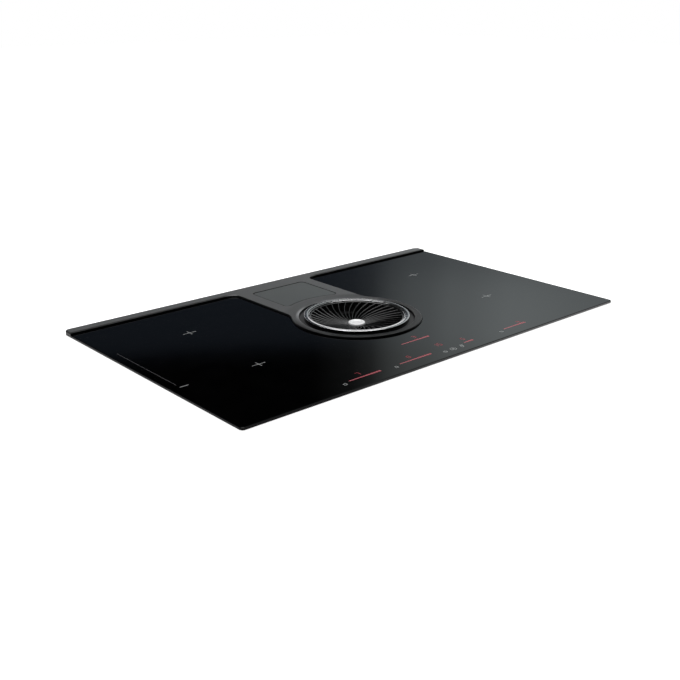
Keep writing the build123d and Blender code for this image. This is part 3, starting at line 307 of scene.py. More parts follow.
def printed_ring(x, y, inner, outer, start=0.0, sweep=360.0, steps=32):
    """Points and faces of a flat printed ring or arc."""
    points = []
    for i in range(steps + 1):
        a = math.radians(start + sweep * i / steps)
        for r, z in ((inner, print_low), (outer, print_low), (outer, print_high), (inner, print_high)):
            points.append((x + r * math.cos(a), y + r * math.sin(a), z))
    faces = sleeve_faces(steps + 1, 4)
    if sweep < 360:
        faces += [(3, 2, 1, 0), tuple(4 * steps + k for k in range(4))]
    return points, faces


def printed_marks(name, limits, rings=()):
    """One mesh of flat boxes, each given by its limits in x and y, and of rings."""
    parts = []
    for x0, x1, y0, y1 in limits:
        corners = ((x0, y0), (x1, y0), (x1, y1), (x0, y1))
        parts.append(([(x, y, z) for z in (print_low, print_high) for x, y in corners], box_faces))
    points, faces = [], []
    for part_points, part_faces in parts + list(rings):
        faces += [tuple(len(points) + i for i in face) for face in part_faces]
        points += part_points
    return new_mesh(name, points, faces)


def face_outwards(piece, merge=0.0):
    """Turn a closed mesh's faces outwards, after joining points no further apart than merge."""
    mesh = bmesh.new()
    mesh.from_mesh(piece.data)
    if merge:
        bmesh.ops.remove_doubles(mesh, verts=mesh.verts, dist=merge)
    bmesh.ops.recalc_face_normals(mesh, faces=mesh.faces)
    mesh.to_mesh(piece.data)
    mesh.free()


zone_marks = [(-0.262, 0.107), (-0.262, -0.082), (0.262, 0.107), (0.262, -0.082)]
cross_half = 0.0125
cross_short = 0.0085
cross_width = 0.0004
short_edge_line = (-0.4003, -0.3860, -0.0812, -0.0802)
long_edge_line = (-0.4003, -0.3998, -0.0710, 0.0990)
cross_limits = []
for x, y in zone_marks:
    cross_limits.append((x - cross_half, x + cross_half, y - cross_width, y + cross_width))
    cross_limits.append((x - cross_width, x + cross_width, y - cross_short, y - cross_width))
    cross_limits.append((x - cross_width, x + cross_width, y + cross_width, y + cross_short))
cross_limits.append(short_edge_line)
print_grey = textured("ceramic_print", (0.34, 0.35, 0.35), (0.46, 0.47, 0.47), 900.0, rough=(0.35, 0.5))
crosses = printed_marks("zone_crosses", cross_limits)
crosses.data.materials.append(print_grey)
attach(crosses, "cooktop")
faint_print = textured("faint_print", (0.045, 0.046, 0.05), (0.085, 0.087, 0.09), 300.0, rough=(0.4, 0.5))
edge_line = printed_marks("faint_edge_line", [long_edge_line])
edge_line.data.materials.append(faint_print)
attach(edge_line, "cooktop")

slider_starts = [
    (-0.2046, -0.2222, 0.0635), (-0.1019, -0.2222, 0.0688),
    (0.0417, -0.2230, 0.0218), (0.1406, -0.2225, 0.0567),
]
stroke = 0.0006
square_left, square_right, square_low, square_high = -0.0150, -0.0098, -0.0082, -0.0030
pause_bars = [(x, x + 0.0009, -0.2333, -0.2281) for x in (0.0058, 0.0082)]
hand_strokes = [(-0.0116, -0.0110, -0.2312, -0.2278), (0.0271, 0.0277, -0.2316, -0.2280)]
symbol_rings = [(-0.0113, -0.2312, 0.0026, 0.0032, 110, 320), (0.0074, -0.2307, 0.0048, 0.0054),
                (0.0274, -0.2316, 0.0026, 0.0032)]
symbol_merge = 0.000001
symbol_limits = []
for x, y, _ in slider_starts:
    left, right, low, high = x + square_left, x + square_right, y + square_low, y + square_high
    symbol_limits.append((left, right, low, low + stroke))
    symbol_limits.append((left, right, high - stroke, high))
    symbol_limits.append((left, left + stroke, low + stroke, high - stroke))
    symbol_limits.append((right - stroke, right, low + stroke, high - stroke))
symbols = printed_marks("touch_symbols", symbol_limits + pause_bars + hand_strokes,
                        [printed_ring(*ring) for ring in symbol_rings])
face_outwards(symbols, symbol_merge)
symbols.data.materials.append(print_grey)
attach(symbols, "cooktop")


# ---- lit controls -------------------------------------------------------------------
# Red light shows through the glass: five sliders, a number over each, and the timer.
# Displays on the board below light them; here each mark is a film on the glass.
def glowing(name, colour, strength):
    """Light that is a little uneven along each bar."""
    material, tree = new_material(name)
    place = add_node(tree, "ShaderNodeTexCoord")
    noise = add_node(tree, "ShaderNodeTexNoise", place.outputs["Object"], Scale=300.0, Detail=2.0)
    shine = level(tree, noise.outputs["Fac"], 0.0, 1.0, 0.7 * strength, 1.3 * strength)
    shader = add_node(tree, "ShaderNodeBsdfPrincipled", Roughness=0.3, Emission_Strength=shine,
                      Base_Color=(*[0.4 * c for c in colour], 1), Emission_Color=(*colour, 1))
    add_node(tree, "ShaderNodeOutputMaterial", shader)
    return material


light_red = glowing("control_light_red", (0.55, 0.03, 0.06), 0.13)
light_pale = glowing("control_light_pale", (0.75, 0.26, 0.30), 0.15)
seven_segments = {0: "abcdef", 5: "acdfg", 7: "abc", 9: "abcdfg", 1: "bc", 3: "abcdg"}


def digit_limits(number, x, y, width, height, stroke):
    """Bars of one number in the seven-bar style, with its lower left corner at x, y."""
    half = height / 2
    bars = {
        "a": (0, width, height - stroke, height), "g": (0, width, half - stroke / 2, half + stroke / 2),
        "d": (0, width, 0, stroke), "f": (0, stroke, half, height), "e": (0, stroke, 0, half),
        "b": (width - stroke, width, half, height), "c": (width - stroke, width, 0, half),
    }
    return [
        (x + bars[k][0], x + bars[k][1], y + bars[k][2], y + bars[k][3]) for k in seven_segments[number]
    ]


lit_sliders = slider_starts + [(-0.0396, -0.1632, 0.0629)]
usual_pitch = 0.0055
lit_share = 0.8
line_half = 0.0004
first_bar = 0.0009
bar_growth = 0.0014
slider_digit = (0.0056, 0.0090, 0.0010)
timer_digit = (0.0062, 0.0105, 0.0011)
slider_numbers = ((7, -0.1790, -0.2140), (0, -0.0740, -0.2140), (5, 0.0500, -0.2140), (9, 0.1850, -0.2190),
                  (3, -0.0020, -0.1555))
timer_numbers = ((1, -0.0060, -0.2075), (5, 0.0030, -0.2075))
red_limits, pale_limits = [], []
for x, y, length in lit_sliders:
    bars = max(4, round(length / usual_pitch))
    pitch = length / bars
    for i in range(bars):
        x0 = x + pitch * i
        x1 = x0 + pitch * lit_share
        height = first_bar + bar_growth * (i + 1) / bars
        red_limits += [(x0, x1, y - height, y - line_half), (x0, x1, y + line_half, y + height)]
    pale_limits.append((x, x + length, y - line_half, y + line_half))
for numbers, digit in ((slider_numbers, slider_digit), (timer_numbers, timer_digit)):
    for number, x, y in numbers:
        red_limits += digit_limits(number, x, y, *digit)
for limits, name, material in (
    (red_limits, "lit_bars_and_numbers", light_red),
    (pale_limits, "lit_slider_lines", light_pale),
):
    piece = printed_marks(name, limits)
    piece.data.materials.append(material)
    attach(piece, "cooktop")


# ---- worktop seal -------------------------------------------------------------------
# Flat foam rubber strip glued under the edge of the plate.
# It lies on the worktop and carries the edge of the plate.
dress("worktop_seal", textured("foam_rubber", (0.018, 0.018, 0.018), (0.035, 0.035, 0.035), 1500.0,
                               rough=(0.8, 0.95), bump=0.4, depth=0.0002))


# ---- centre trim --------------------------------------------------------------------
# Cast metal, bead-blasted and coated dark grey, with rounded edges. Its colour holds painted light:
# painted shade, near black, on the collar's front and painted highlights on the collar's left.
def vector_calc(tree, operation, *values):
    return add_node(tree, "ShaderNodeVectorMath", *values, operation=operation)


def shade_base(tree, share):
    """Multiply a material's base colour by a share."""
    target = find_node(tree, "BSDF_PRINCIPLED").inputs["Base Color"]
    colour = target.links[0].from_socket
    plug(tree, target, add_node(tree, "ShaderNodeVectorMath", colour, operation="SCALE", Scale=share))


inlet_y = -0.0136
inlet = Vector((0, inlet_y, 0))


def from_inlet(tree):
    """Places as seen from the inlet's middle, and how far they are from its upright axis."""
    place = find_node(tree, "TEX_COORD").outputs["Object"]
    moved = add_node(tree, "ShaderNodeMapping", place, Location=(0, -inlet_y, 0))
    flat = vector_calc(tree, "MULTIPLY", moved, (1, 1, 0))
    return moved, vector_calc(tree, "LENGTH", flat).outputs["Value"]


strip_end_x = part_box("centre_trim")[1].x
strip_front_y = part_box("centre_trim")[1].y - 0.025
# Painted light around the collar: a painted highlight on its left, painted shade on its front.
collar_painted_light_stops = (
    (0.0, 0.36), (0.03, 0.20), (0.08, 0.022), (0.25, 0.016), (0.45, 0.035), (0.55, 0.045),
    (0.64, 0.085), (0.72, 0.14), (0.90, 0.14), (0.97, 0.20), (1.0, 0.36),
)
# Places around the collar where the painted highlight lies.
glint_arc_shades = ((0.80, 0.0), (0.845, 1.0), (0.88, 1.0), (0.925, 0.0))
glint_gain = 3.4
trim_grey = textured("blasted_dark_trim", (0.155, 0.160, 0.163), (0.19, 0.195, 0.198), 1600.0, metallic=1.0,
                     rough=(0.33, 0.40), bump=0.12, depth=0.00008, detail=2.0)
tree = trim_grey.node_tree
base = find_node(tree, "BSDF_PRINCIPLED").inputs["Base Color"]
from_centre, reach = from_inlet(tree)
around = add_node(tree, "ShaderNodeTexGradient", from_centre, gradient_type="RADIAL").outputs["Fac"]
on_collar = level(tree, reach, 0.1185, 0.130, 1.0, 0.0, smooth=True)
collar_painted_light = ramp(tree, around, collar_painted_light_stops, (1, 1.02, 1.04))
plug(tree, base, mix_colours(tree, on_collar, base.links[0].from_socket, collar_painted_light))

# Painted highlight: a glint lightens an arc of the collar's inner edge on its left side.
glint_band = level(tree, reach, 0.1025, 0.1065, 1.0, 0.0, smooth=True)
painted_glint_mask = calc(tree, "MULTIPLY", ramp(tree, around, glint_arc_shades), glint_band)
shade_base(tree, level(tree, painted_glint_mask, 0.0, 1.0, 1.0, glint_gain))

# Painted shade: the rear strip darkens near its front and at its ends, outside the bridge.
strip = add_node(tree, "ShaderNodeSeparateXYZ", find_node(tree, "TEX_COORD").outputs["Object"])
strip_front_shade = level(tree, strip.outputs["Y"], strip_front_y + 0.0045, strip_front_y + 0.0075, 0.05, 1.0,
                    smooth=True)
beside_bridge = calc(tree, "ABSOLUTE", strip.outputs["X"])
on_bridge = level(tree, beside_bridge, 0.092, 0.110, 1.0, 0.0)
strip_end_shade = level(tree, beside_bridge, strip_end_x - 0.006, strip_end_x - 0.001, 1.0, 0.05, smooth=True)
strip_painted_shade = calc(tree, "MAXIMUM", calc(tree, "MINIMUM", strip_front_shade, strip_end_shade), on_bridge)
# Painted shade: all upright faces of the trim are darkened.
edge = level(tree, slope(tree), 0.35, 0.93, 0.12, 1.0)
shade_base(tree, calc(tree, "MULTIPLY", strip_painted_shade, edge))
dress("centre_trim", trim_grey)


# ---- weighing plate -----------------------------------------------------------------
# Stiff plate on a sensor bar; the same coating as the trim, slightly smoother and greener.
# Painted shade darkens a border along its outline, so that the narrow gap to the trim reads as dark.
scale_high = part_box("weighing_plate")[1]
scale_front_radius = 0.129
scale_corner = 0.008
scale_back = scale_high.y - inlet_y
seam = 0.0011 / scale_corner
seam_from_share, seam_to_share = 1.4, 0.6
seam_slant_share = 0.5
seam_painted_shade = 0.05
tip_from_share = 0.44
tip_x = scale_high.x - scale_corner
tip_y = math.sqrt((scale_front_radius + scale_corner) ** 2 - tip_x**2)
tip_lean = scale_high.x / scale_front_radius
tip_ahead = Vector((1 - tip_lean, -math.sqrt(1 - tip_lean**2), 0)).normalized()
scale_coat = textured("weighing_plate_coat", (0.155, 0.172, 0.172), (0.175, 0.193, 0.193), 1800.0,
                      metallic=1.0, rough=(0.30, 0.36), bump=0.08, depth=0.00006, detail=2.0)
tree = scale_coat.node_tree
from_centre, reach = from_inlet(tree)
split = add_node(tree, "ShaderNodeSeparateXYZ", from_centre)
away = calc(tree, "ABSOLUTE", split.outputs["X"])
side_edge = level(tree, away, scale_high.x - scale_corner, scale_high.x, 0.0, 1.0)
back_edge = level(tree, split.outputs["Y"], scale_back - scale_corner, scale_back, 0.0, 1.0)
front_edge = level(tree, reach, scale_front_radius, scale_front_radius + scale_corner, 1.0, 0.0)
ends = calc(tree, "MAXIMUM", front_edge, back_edge)
corner = add_node(tree, "ShaderNodeCombineXYZ", side_edge, ends)
out = vector_calc(tree, "LENGTH", corner).outputs["Value"]

folded = add_node(tree, "ShaderNodeCombineXYZ", away, split.outputs["Y"])
from_tip = vector_calc(tree, "SUBTRACT", folded, (tip_x, tip_y, 0))
tip_side = vector_calc(tree, "DOT_PRODUCT", from_tip, tip_ahead).outputs["Value"]
tip_only = calc(tree, "GREATER_THAN", tip_side, tip_from_share * scale_corner)
tip_reach = vector_calc(tree, "LENGTH", from_tip).outputs["Value"]
tip_out = calc(tree, "MULTIPLY", calc(tree, "DIVIDE", tip_reach, scale_corner), tip_only)
furthest = calc(tree, "MAXIMUM", out, tip_out)
seam_from, seam_to = [
    level(tree, ends, 0.0, 1.0, 1 - seam * share, 1 - seam * share / seam_slant_share)
    for share in (seam_from_share, seam_to_share)
]
# Painted shade: the colour darkens in a thin border along the plate's outline.
shade_base(tree, level(tree, furthest, seam_from, seam_to, 1.0, seam_painted_shade))
dress("weighing_plate", scale_coat)
dress("load_cell", textured("milled_aluminium", (0.62, 0.63, 0.64), (0.74, 0.75, 0.76), 400.0, (1, 9, 1),
                            metallic=1.0, rough=(0.28, 0.42), bump=0.1, depth=0.0001))
zinc_sheet = textured("zinc_coated_sheet", (0.49, 0.505, 0.515), (0.57, 0.585, 0.595), 240.0, pattern="cells",
                      metallic=1.0, rough=(0.36, 0.50), bump=0.05, depth=0.0001)
dress("load_cell_bracket", zinc_sheet)
dress("centre_frame", zinc_sheet)


# ---- inlet well ---------------------------------------------------------------------
# Injection-moulded cup of black plastic that catches what runs through the grille.
# Its window opens to the duct, and its spout drains into the drawer below.
moulded_black = textured("moulded_black_plastic", (0.004, 0.004, 0.0045), (0.008, 0.008, 0.0085), 700.0,
                         rough=(0.5, 0.65), bump=0.2, depth=0.0001)
dress("inlet_well", moulded_black)


# ---- grille rim ---------------------------------------------------------------------
# Turned and chromed ring with a rounded crown, a narrow groove and a thin inner lip.
# Rim, fins and cap lift out together as one grille.
def lathe(name, profile, centre, steps=192):
    """Closed ring or disc turned from a half section given as radius and height."""
    count = len(profile)
    points, faces = [], []
    for i in range(steps):
        a = 2 * math.pi * i / steps
        here, there = i * count, (i + 1) % steps * count
        for k, (radius, height) in enumerate(profile):
            following = (k + 1) % count
            x, y = centre.x + radius * math.cos(a), centre.y + radius * math.sin(a)
            points.append((x, y, centre.z + height))
            faces.append((here + k, there + k, there + following, here + following))
    piece = new_mesh(name, points, faces, smooth=True)
    face_outwards(piece, merge=0.0000005)
    piece.data.set_sharp_from_angle(angle=math.radians(40))
    return piece


def arc(radius, height, wide, tall, sweep, steps, start=0):
    """Points of a half section along an arc about radius and height."""
    turns = [sweep * i / steps for i in range(start, steps + 1)]
    return [(radius + wide * math.cos(a), height + tall * math.sin(a)) for a in turns]


rim_low, rim_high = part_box("grille_rim")
rim_outer = (rim_high.x - rim_low.x) / 2
rim_inner = 0.082
rim_lip = rim_inner + 0.0012
rim_top = rim_high.z
rim_round = 0.0009
lip_half = 0.0006
lip_tall = 0.0005
lip_drop = 0.0016
groove_floor = rim_top - 0.0026
groove_outer = rim_lip + 0.0013
rim_profile = [(rim_inner, rim_low.z), (rim_outer, rim_low.z)]
rim_profile += arc(rim_outer - rim_round, rim_top - rim_round, rim_round, rim_round, math.pi / 2, 8)
rim_profile += [(groove_outer + 0.0003, rim_top), (groove_outer + 0.0001, rim_top - 0.0001),
                (groove_outer, rim_top - 0.0003), (groove_outer, groove_floor), (rim_lip, groove_floor)]
rim_profile += arc(rim_lip - lip_half, rim_top - lip_drop, lip_half, lip_tall, math.pi, 6)
rim = lathe("chromed_rim", rim_profile, inlet)
chrome = textured("polished_chrome", (0.74, 0.74, 0.75), (0.83, 0.83, 0.84), 120.0, metallic=1.0,
                  rough=(0.11, 0.17))
# Painted shade darkens the chrome's upright faces, such as the inner side of the rim.
shade_base(chrome.node_tree, level(chrome.node_tree, slope(chrome.node_tree), 0.25, 0.75, 0.08, 1.0))
rim.data.materials.append(chrome)
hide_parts("grille_rim")
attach(rim, "grille")


# ---- grille fins --------------------------------------------------------------------
# Cast black grille: 36 curved fins with rounded tops run from the hub to the hoop and dip
# towards the middle like a shallow dish.
def new_group(name, **sockets):
    """Geometry tree with the given inputs and one mesh as its output, and its input sockets."""
    group = bpy.data.node_groups.new(name, "GeometryNodeTree")
    for socket, kind in sockets.items():
        group.interface.new_socket(socket, in_out="INPUT", socket_type="NodeSocket" + kind)
    group.interface.new_socket("Geometry", in_out="OUTPUT", socket_type="NodeSocketGeometry")
    return group, group.nodes.new("NodeGroupInput").outputs


def end_group(group, geometry, finish):
    """Make a geometry tree's copies real, give them their material and send them out."""
    real = add_node(group, "GeometryNodeRealizeInstances", geometry)
    finished = add_node(group, "GeometryNodeSetMaterial", real, Material=finish)
    add_node(group, "NodeGroupOutput", finished)
    return group


def around_tree(name):
    """Geometry tree that repeats one piece in a ring about the vertical line through Centre."""
    group, given = new_group(name, Geometry="Geometry", Count="Int", Centre="Vector", Finish="Material")
    points = add_node(group, "GeometryNodePoints", Count=given["Count"], Position=given["Centre"])
    share = calc(group, "DIVIDE", add_node(group, "GeometryNodeInputIndex"), given["Count"])
    turn = add_node(group, "ShaderNodeCombineXYZ", Z=calc(group, "MULTIPLY", share, 2 * math.pi))
    copies = add_node(group, "GeometryNodeInstanceOnPoints", Points=points, Instance=given["Geometry"],
                      Rotation=turn)
    return end_group(group, copies, given["Finish"])


def run_tree(piece, group, **values):
    """Run a geometry tree on a piece and keep the result as its plain mesh."""
    modifier = piece.modifiers.new("tree", "NODES")
    modifier.node_group = group
    for item in group.interface.items_tree:
        if item.in_out == "INPUT" and item.name in values:
            modifier[item.identifier] = values[item.name]
    bpy.context.view_layer.update()
    evaluated = piece.evaluated_get(bpy.context.evaluated_depsgraph_get())
    mesh = bpy.data.meshes.new_from_object(evaluated)
    mesh.name = piece.name
    piece.modifiers.remove(modifier)
    piece.data = mesh
    return piece


dish_inner = 0.01515
dish_outer = 0.08035
dish_bottom = -0.0065
dish_rise = 0.0145
dish_curve = 0.14


def dish_height(radius):
    """Top of the fins above the worktop plane at a radius."""
    t = (radius - dish_inner) / (dish_outer - dish_inner)
    return dish_bottom + dish_rise * ((1 - dish_curve) * t + dish_curve * t * t)


fin_count = 36
fin_inner = 0.0148
fin_outer = 0.0803
fin_sweep = math.radians(28)
fin_bend = 0.24
fin_half = 0.00085
fin_height = 0.009
fin_steps = 20
fin_section = [(-1.0, -1.0), (-1.0, -0.10), (-0.8, -0.03), (-0.35, 0.0),
               (0.35, 0.0), (0.8, -0.03), (1.0, -0.10), (1.0, -1.0)]
fin_points = []
for i in range(fin_steps + 1):
    t = i / fin_steps
    radius = fin_inner + (fin_outer - fin_inner) * t
    angle = -fin_sweep * ((1 + fin_bend) * t - fin_bend * t * t)
    ahead = -fin_sweep * (1 + fin_bend - 2 * fin_bend * t)
    along = Vector((fin_outer - fin_inner, radius * ahead, 0)).normalized()
    along.rotate(Matrix.Rotation(angle, 3, "Z"))
    across = Vector((-along.y, along.x, 0))
    middle = Vector((radius * math.cos(angle), radius * math.sin(angle), 0))
    top = dish_height(radius)
    for side_share, drop in fin_section:
        point = middle + across * (side_share * fin_half)
        fin_points.append((point.x, point.y, top + drop * fin_height))
size = len(fin_section)
fin_faces = sleeve_faces(fin_steps + 1, size)
fin_faces.append(tuple(range(size)))
fin_faces.append(tuple(fin_steps * size + k for k in reversed(range(size))))
fins = new_mesh("spiral_fins", fin_points, fin_faces, smooth=True)
face_outwards(fins)
fins.data.set_sharp_from_angle(angle=math.radians(50))
fin_enamel = textured("satin_black_enamel", (0.002, 0.002, 0.0022), (0.004, 0.004, 0.0042), 900.0,
                      rough=(0.14, 0.22), bump=0.06, depth=0.0001)
tree = fin_enamel.node_tree
shader = find_node(tree, "BSDF_PRINCIPLED")
plug(tree, shader.inputs["Specular IOR Level"], 0.9)
plug(tree, shader.inputs["IOR"], 1.6)
crown = level(tree, slope(tree), 0.4, 0.95, 0.05, 1.0)
matt_side = add_node(tree, "ShaderNodeBsdfDiffuse", Color=(0.004, 0.004, 0.0042, 1))
both = add_node(tree, "ShaderNodeMixShader", crown, matt_side, shader)
plug(tree, find_node(tree, "OUTPUT_MATERIAL").inputs[0], both)
run_tree(fins, around_tree("fins_in_a_ring"), Count=fin_count, Centre=inlet, Finish=fin_enamel)
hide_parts("grille_fins")
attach(fins, "grille")

hub_top = dish_bottom
hub_profile = [(0, hub_top - 0.012), (0.0146, hub_top - 0.012), (0.016, hub_top - 0.0108),
               (0.016, hub_top - 0.0008), (0.0157, hub_top - 0.0002), (0.0152, hub_top), (0, hub_top)]
hub = lathe("grille_hub", hub_profile, inlet, 96)
hoop_profile = [(0.0791, 0.003), (0.0816, 0.003), (0.0816, 0.0074), (0.0812, 0.0079), (0.0806, 0.0080),
                (0.0796, 0.0079), (0.0791, 0.0074)]
hoop = lathe("grille_hoop", hoop_profile, inlet)
for piece in (hub, hoop):
    piece.data.materials.append(fin_enamel)
    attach(piece, "grille")


# ---- grille cap ---------------------------------------------------------------------
# Bright turned cap pressed on the hub, with a shallow bare recess in its middle.
# It comes out with the grille.
cap_outer = 0.0145
cap_side = 0.0016
cap_round = 0.0014
cap_profile = [(0, hub_top), (cap_outer, hub_top), (cap_outer, hub_top + cap_side)]
cap_profile += arc(cap_outer - cap_round, hub_top + cap_side, cap_round, cap_round, math.pi / 2, 6, start=1)
cap_profile += [(0.0098, hub_top + 0.0030), (0.0092, hub_top + 0.0027), (0.0088, hub_top + 0.0022),
                (0, hub_top + 0.0020)]
cap = lathe("bright_cap", cap_profile, inlet, 96)
turned_aluminium = textured("turned_aluminium", (0.80, 0.80, 0.80), (0.92, 0.92, 0.92), 260.0, (1, 1, 30),
                            metallic=0.35, rough=(0.35, 0.5), bump=0.08, depth=0.00005)
cap.data.materials.append(turned_aluminium)
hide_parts("grille_cap")
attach(cap, "grille")


# ---- grease filter ------------------------------------------------------------------
# Black basket frame with a sleeve of crossed stainless wires and a wire handle.
# It stands on the floor of the well and is lifted out by its handle after the grille.
dress("filter_basket", moulded_black)
mesh_low, mesh_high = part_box("filter_mesh")
wire_sleeve_radius = (mesh_high.x - mesh_low.x) / 2 - 0.0006
wire_count = 120
wire_radius = 0.0003
wire_steps = 18
wire_sides = 5
steel_wire = textured("stainless_wire", (0.42, 0.42, 0.42), (0.60, 0.60, 0.60), 900.0, metallic=1.0,
                      rough=(0.25, 0.4))
for name, lean, offset in (
    ("filter_wires_right", 0.5, wire_radius),
    ("filter_wires_left", -0.5, -wire_radius),
):
    points = []
    for i in range(wire_steps + 1):
        t = i / wire_steps
        a = lean * (t - 0.5)
        z = mesh_low.z + wire_radius + (mesh_high.z - mesh_low.z - 2 * wire_radius) * t
        for k in range(wire_sides):
            b = 2 * math.pi * k / wire_sides
            radius = wire_sleeve_radius + offset + wire_radius * math.cos(b)
            points.append((radius * math.cos(a), radius * math.sin(a) + wire_radius * math.sin(b), z))
    faces = sleeve_faces(wire_steps + 1, wire_sides)
    faces.append(tuple(reversed(range(wire_sides))))
    faces.append(tuple(wire_steps * wire_sides + k for k in range(wire_sides)))
    wires = new_mesh(name, points, faces, smooth=True)
    run_tree(wires, around_tree(name + "_ring"), Count=wire_count, Centre=inlet, Finish=steel_wire)
    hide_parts("filter_mesh")
    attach(wires, "grease_filter")
dress("filter_handle", steel_wire)


# ---- tray and clips -----------------------------------------------------------------
# Zinc-coated sheet tray with welded walls and the frame that carries the glass; spring
# steel clips hold it in the cut-out.
dress("main_tray", zinc_sheet)
dress("glass_support", zinc_sheet)


def row_tree(name):
    """Geometry tree that repeats one piece in a straight row."""
    group, given = new_group(name, Geometry="Geometry", Count="Int", Start="Vector", Step="Vector",
                             Finish="Material")
    line = add_node(group, "GeometryNodeMeshLine", Count=given["Count"], Start_Location=given["Start"],
                    Offset=given["Step"])
    copies = add_node(group, "GeometryNodeInstanceOnPoints", Points=line, Instance=given["Geometry"])
    return end_group(group, copies, given["Finish"])


bead_half_length = 0.100
bead_half_width = 0.006
bead_height = 0.0012
bead_rows = 9
bead_steps = 24
bead_count = 5
bead_start_x, bead_step_x, bead_y = 0.200, 0.040, 0.020
tray_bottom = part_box("main_tray")[0].z
beads_in_a_row = row_tree("beads_in_a_row")
for side in (-1, 1):
    points = [(0, -bead_half_length, 0)]
    for i in range(1, bead_steps):
        t = -math.cos(math.pi * i / bead_steps)
        width = bead_half_width * min(1.0, 4.0 * math.sqrt(max(0.0, 1 - t * t)))
        for k in range(bead_rows):
            a = math.pi * k / (bead_rows - 1)
            points.append((width * math.cos(a), t * bead_half_length,
                           -bead_height * math.sin(a) * width / bead_half_width))
    points.append((0, bead_half_length, 0))
    last = len(points) - 1
    faces = sleeve_faces(bead_steps - 1, bead_rows, first=1)
    for k in range(bead_rows):
        following = (k + 1) % bead_rows
        faces.append((0, 1 + following, 1 + k))
        faces.append((last, last - bead_rows + k, last - bead_rows + following))
    beads = new_mesh("tray_beads_" + ("left" if side < 0 else "right"), points, faces, smooth=True)
    face_outwards(beads)
    run_tree(beads, beads_in_a_row, Count=bead_count, Step=Vector((side * bead_step_x, 0, 0)),
             Start=Vector((side * bead_start_x, bead_y, tray_bottom + 0.0001)), Finish=zinc_sheet)
    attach(beads, "cooktop")
spring_steel = textured("spring_steel", (0.30, 0.30, 0.31), (0.42, 0.42, 0.43), 500.0, (1, 1, 12),
                        metallic=1.0, rough=(0.25, 0.4), bump=0.05, depth=0.0001)
dress("worktop_clips", spring_steel)


# ---- cooking zones ------------------------------------------------------------------
# Flat coils wound from enamelled copper strand, over ferrite bars on aluminium carriers.
# Two rails carry two zones each, and a temperature probe sits in the middle of each coil.
def spiral_tree():
    """Geometry tree of a flat spiral of round wire."""
    group, given = new_group("flat_winding", Turns="Float", Inner="Float", Outer="Float", Wire="Float",
                             Centre="Vector", Finish="Material")
    spiral = add_node(group, "GeometryNodeCurveSpiral", Resolution=40, Rotations=given["Turns"],
                      Start_Radius=given["Inner"], End_Radius=given["Outer"], Height=0.0)
    section = add_node(group, "GeometryNodeCurvePrimitiveCircle", Resolution=6, Radius=given["Wire"])
    wire = add_node(group, "GeometryNodeCurveToMesh", Curve=spiral, Profile_Curve=section, Fill_Caps=True)
    moved = add_node(group, "GeometryNodeTransform", Geometry=wire, Translation=given["Centre"])
    return end_group(group, moved, given["Finish"])


winding = spiral_tree()
coil_turns = 15.0
coil_inner = 0.0242
strand_radius = 0.0020
coil_margin = 0.0022
enamelled_copper = textured("enamelled_copper", (0.30, 0.10, 0.035), (0.45, 0.17, 0.06), 600.0, metallic=0.8,
                            rough=(0.3, 0.45), bump=0.2, depth=0.0002)
coil_aluminium = textured("rolled_aluminium", (0.60, 0.61, 0.62), (0.72, 0.73, 0.74), 300.0, (1, 8, 1),
                          metallic=1.0, rough=(0.3, 0.45))
for zone in ("front_left", "rear_left", "front_right", "rear_right"):
    low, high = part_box("coil_winding_" + zone)
    middle = (low + high) / 2
    half = (high.x - low.x) / 2
    coil = new_mesh("copper_coil_" + zone, [(0, 0, 0)], [])
    run_tree(coil, winding, Turns=coil_turns, Inner=coil_inner, Outer=half - coil_margin, Wire=strand_radius,
             Centre=middle, Finish=enamelled_copper)
    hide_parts("coil_winding_" + zone)
    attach(coil, "cooktop")
    dress("coil_carrier_" + zone, coil_aluminium)
dress("ferrite_bars", textured("sintered_ferrite", (0.035, 0.035, 0.037), (0.055, 0.055, 0.057), 800.0,
                               rough=(0.6, 0.8)))
dress("coil_insulators", textured("mica_felt", (0.62, 0.58, 0.50), (0.74, 0.70, 0.62), 300.0,
                                  rough=(0.7, 0.9), bump=0.3, depth=0.0002))
cream_plastic = textured("cream_heatproof_plastic", (0.56, 0.54, 0.48), (0.64, 0.62, 0.56), 400.0,
                         rough=(0.45, 0.6))
dress("coil_sensors", cream_plastic)
dress("coil_spacers", cream_plastic)
dress("coil_rails", zinc_sheet)


# ---- power electronics --------------------------------------------------------------
# Green lacquered boards, extruded heatsinks and two small axial fans.
# The power boards stand on short posts, and the touch board lies under the front edge.
board_green = textured("green_board_lacquer", (0.010, 0.075, 0.030), (0.016, 0.110, 0.045), 250.0, (1, 3, 1),
                       rough=(0.25, 0.4), coat=0.2)
for side_name in ("left", "right"):
    dress("power_board_" + side_name, board_green)
    dress("heatsink_" + side_name, coil_aluminium)
    dress("cooling_fan_frame_" + side_name, moulded_black)
    dress("cooling_fan_rotor_" + side_name, moulded_black)
dress("control_board", board_green)


# ---- extractor ----------------------------------------------------------------------
# Duct and scroll shells of grained dark plastic, a blade drum, and an external-rotor motor.
# The duct runs under the tray from the well to the blower, whose shells meet at a flange.
duct_plastic = textured("grained_duct_plastic", (0.022, 0.022, 0.024), (0.034, 0.034, 0.036), 500.0,
                        rough=(0.45, 0.6), bump=0.3, depth=0.00015)
for name in ("intake_duct", "scroll_upper", "scroll_lower"):
    dress(name, duct_plastic)
wheel_plastic = textured("wheel_plastic", (0.03, 0.03, 0.032), (0.045, 0.045, 0.047), 600.0,
                         rough=(0.35, 0.5))
dress("impeller", wheel_plastic)
dress("rotor_can", zinc_sheet)
dress("motor_shaft", spring_steel)
dress("motor_bearings", spring_steel)
dress("motor_stator", enamelled_copper)
dress("motor_base", coil_aluminium)


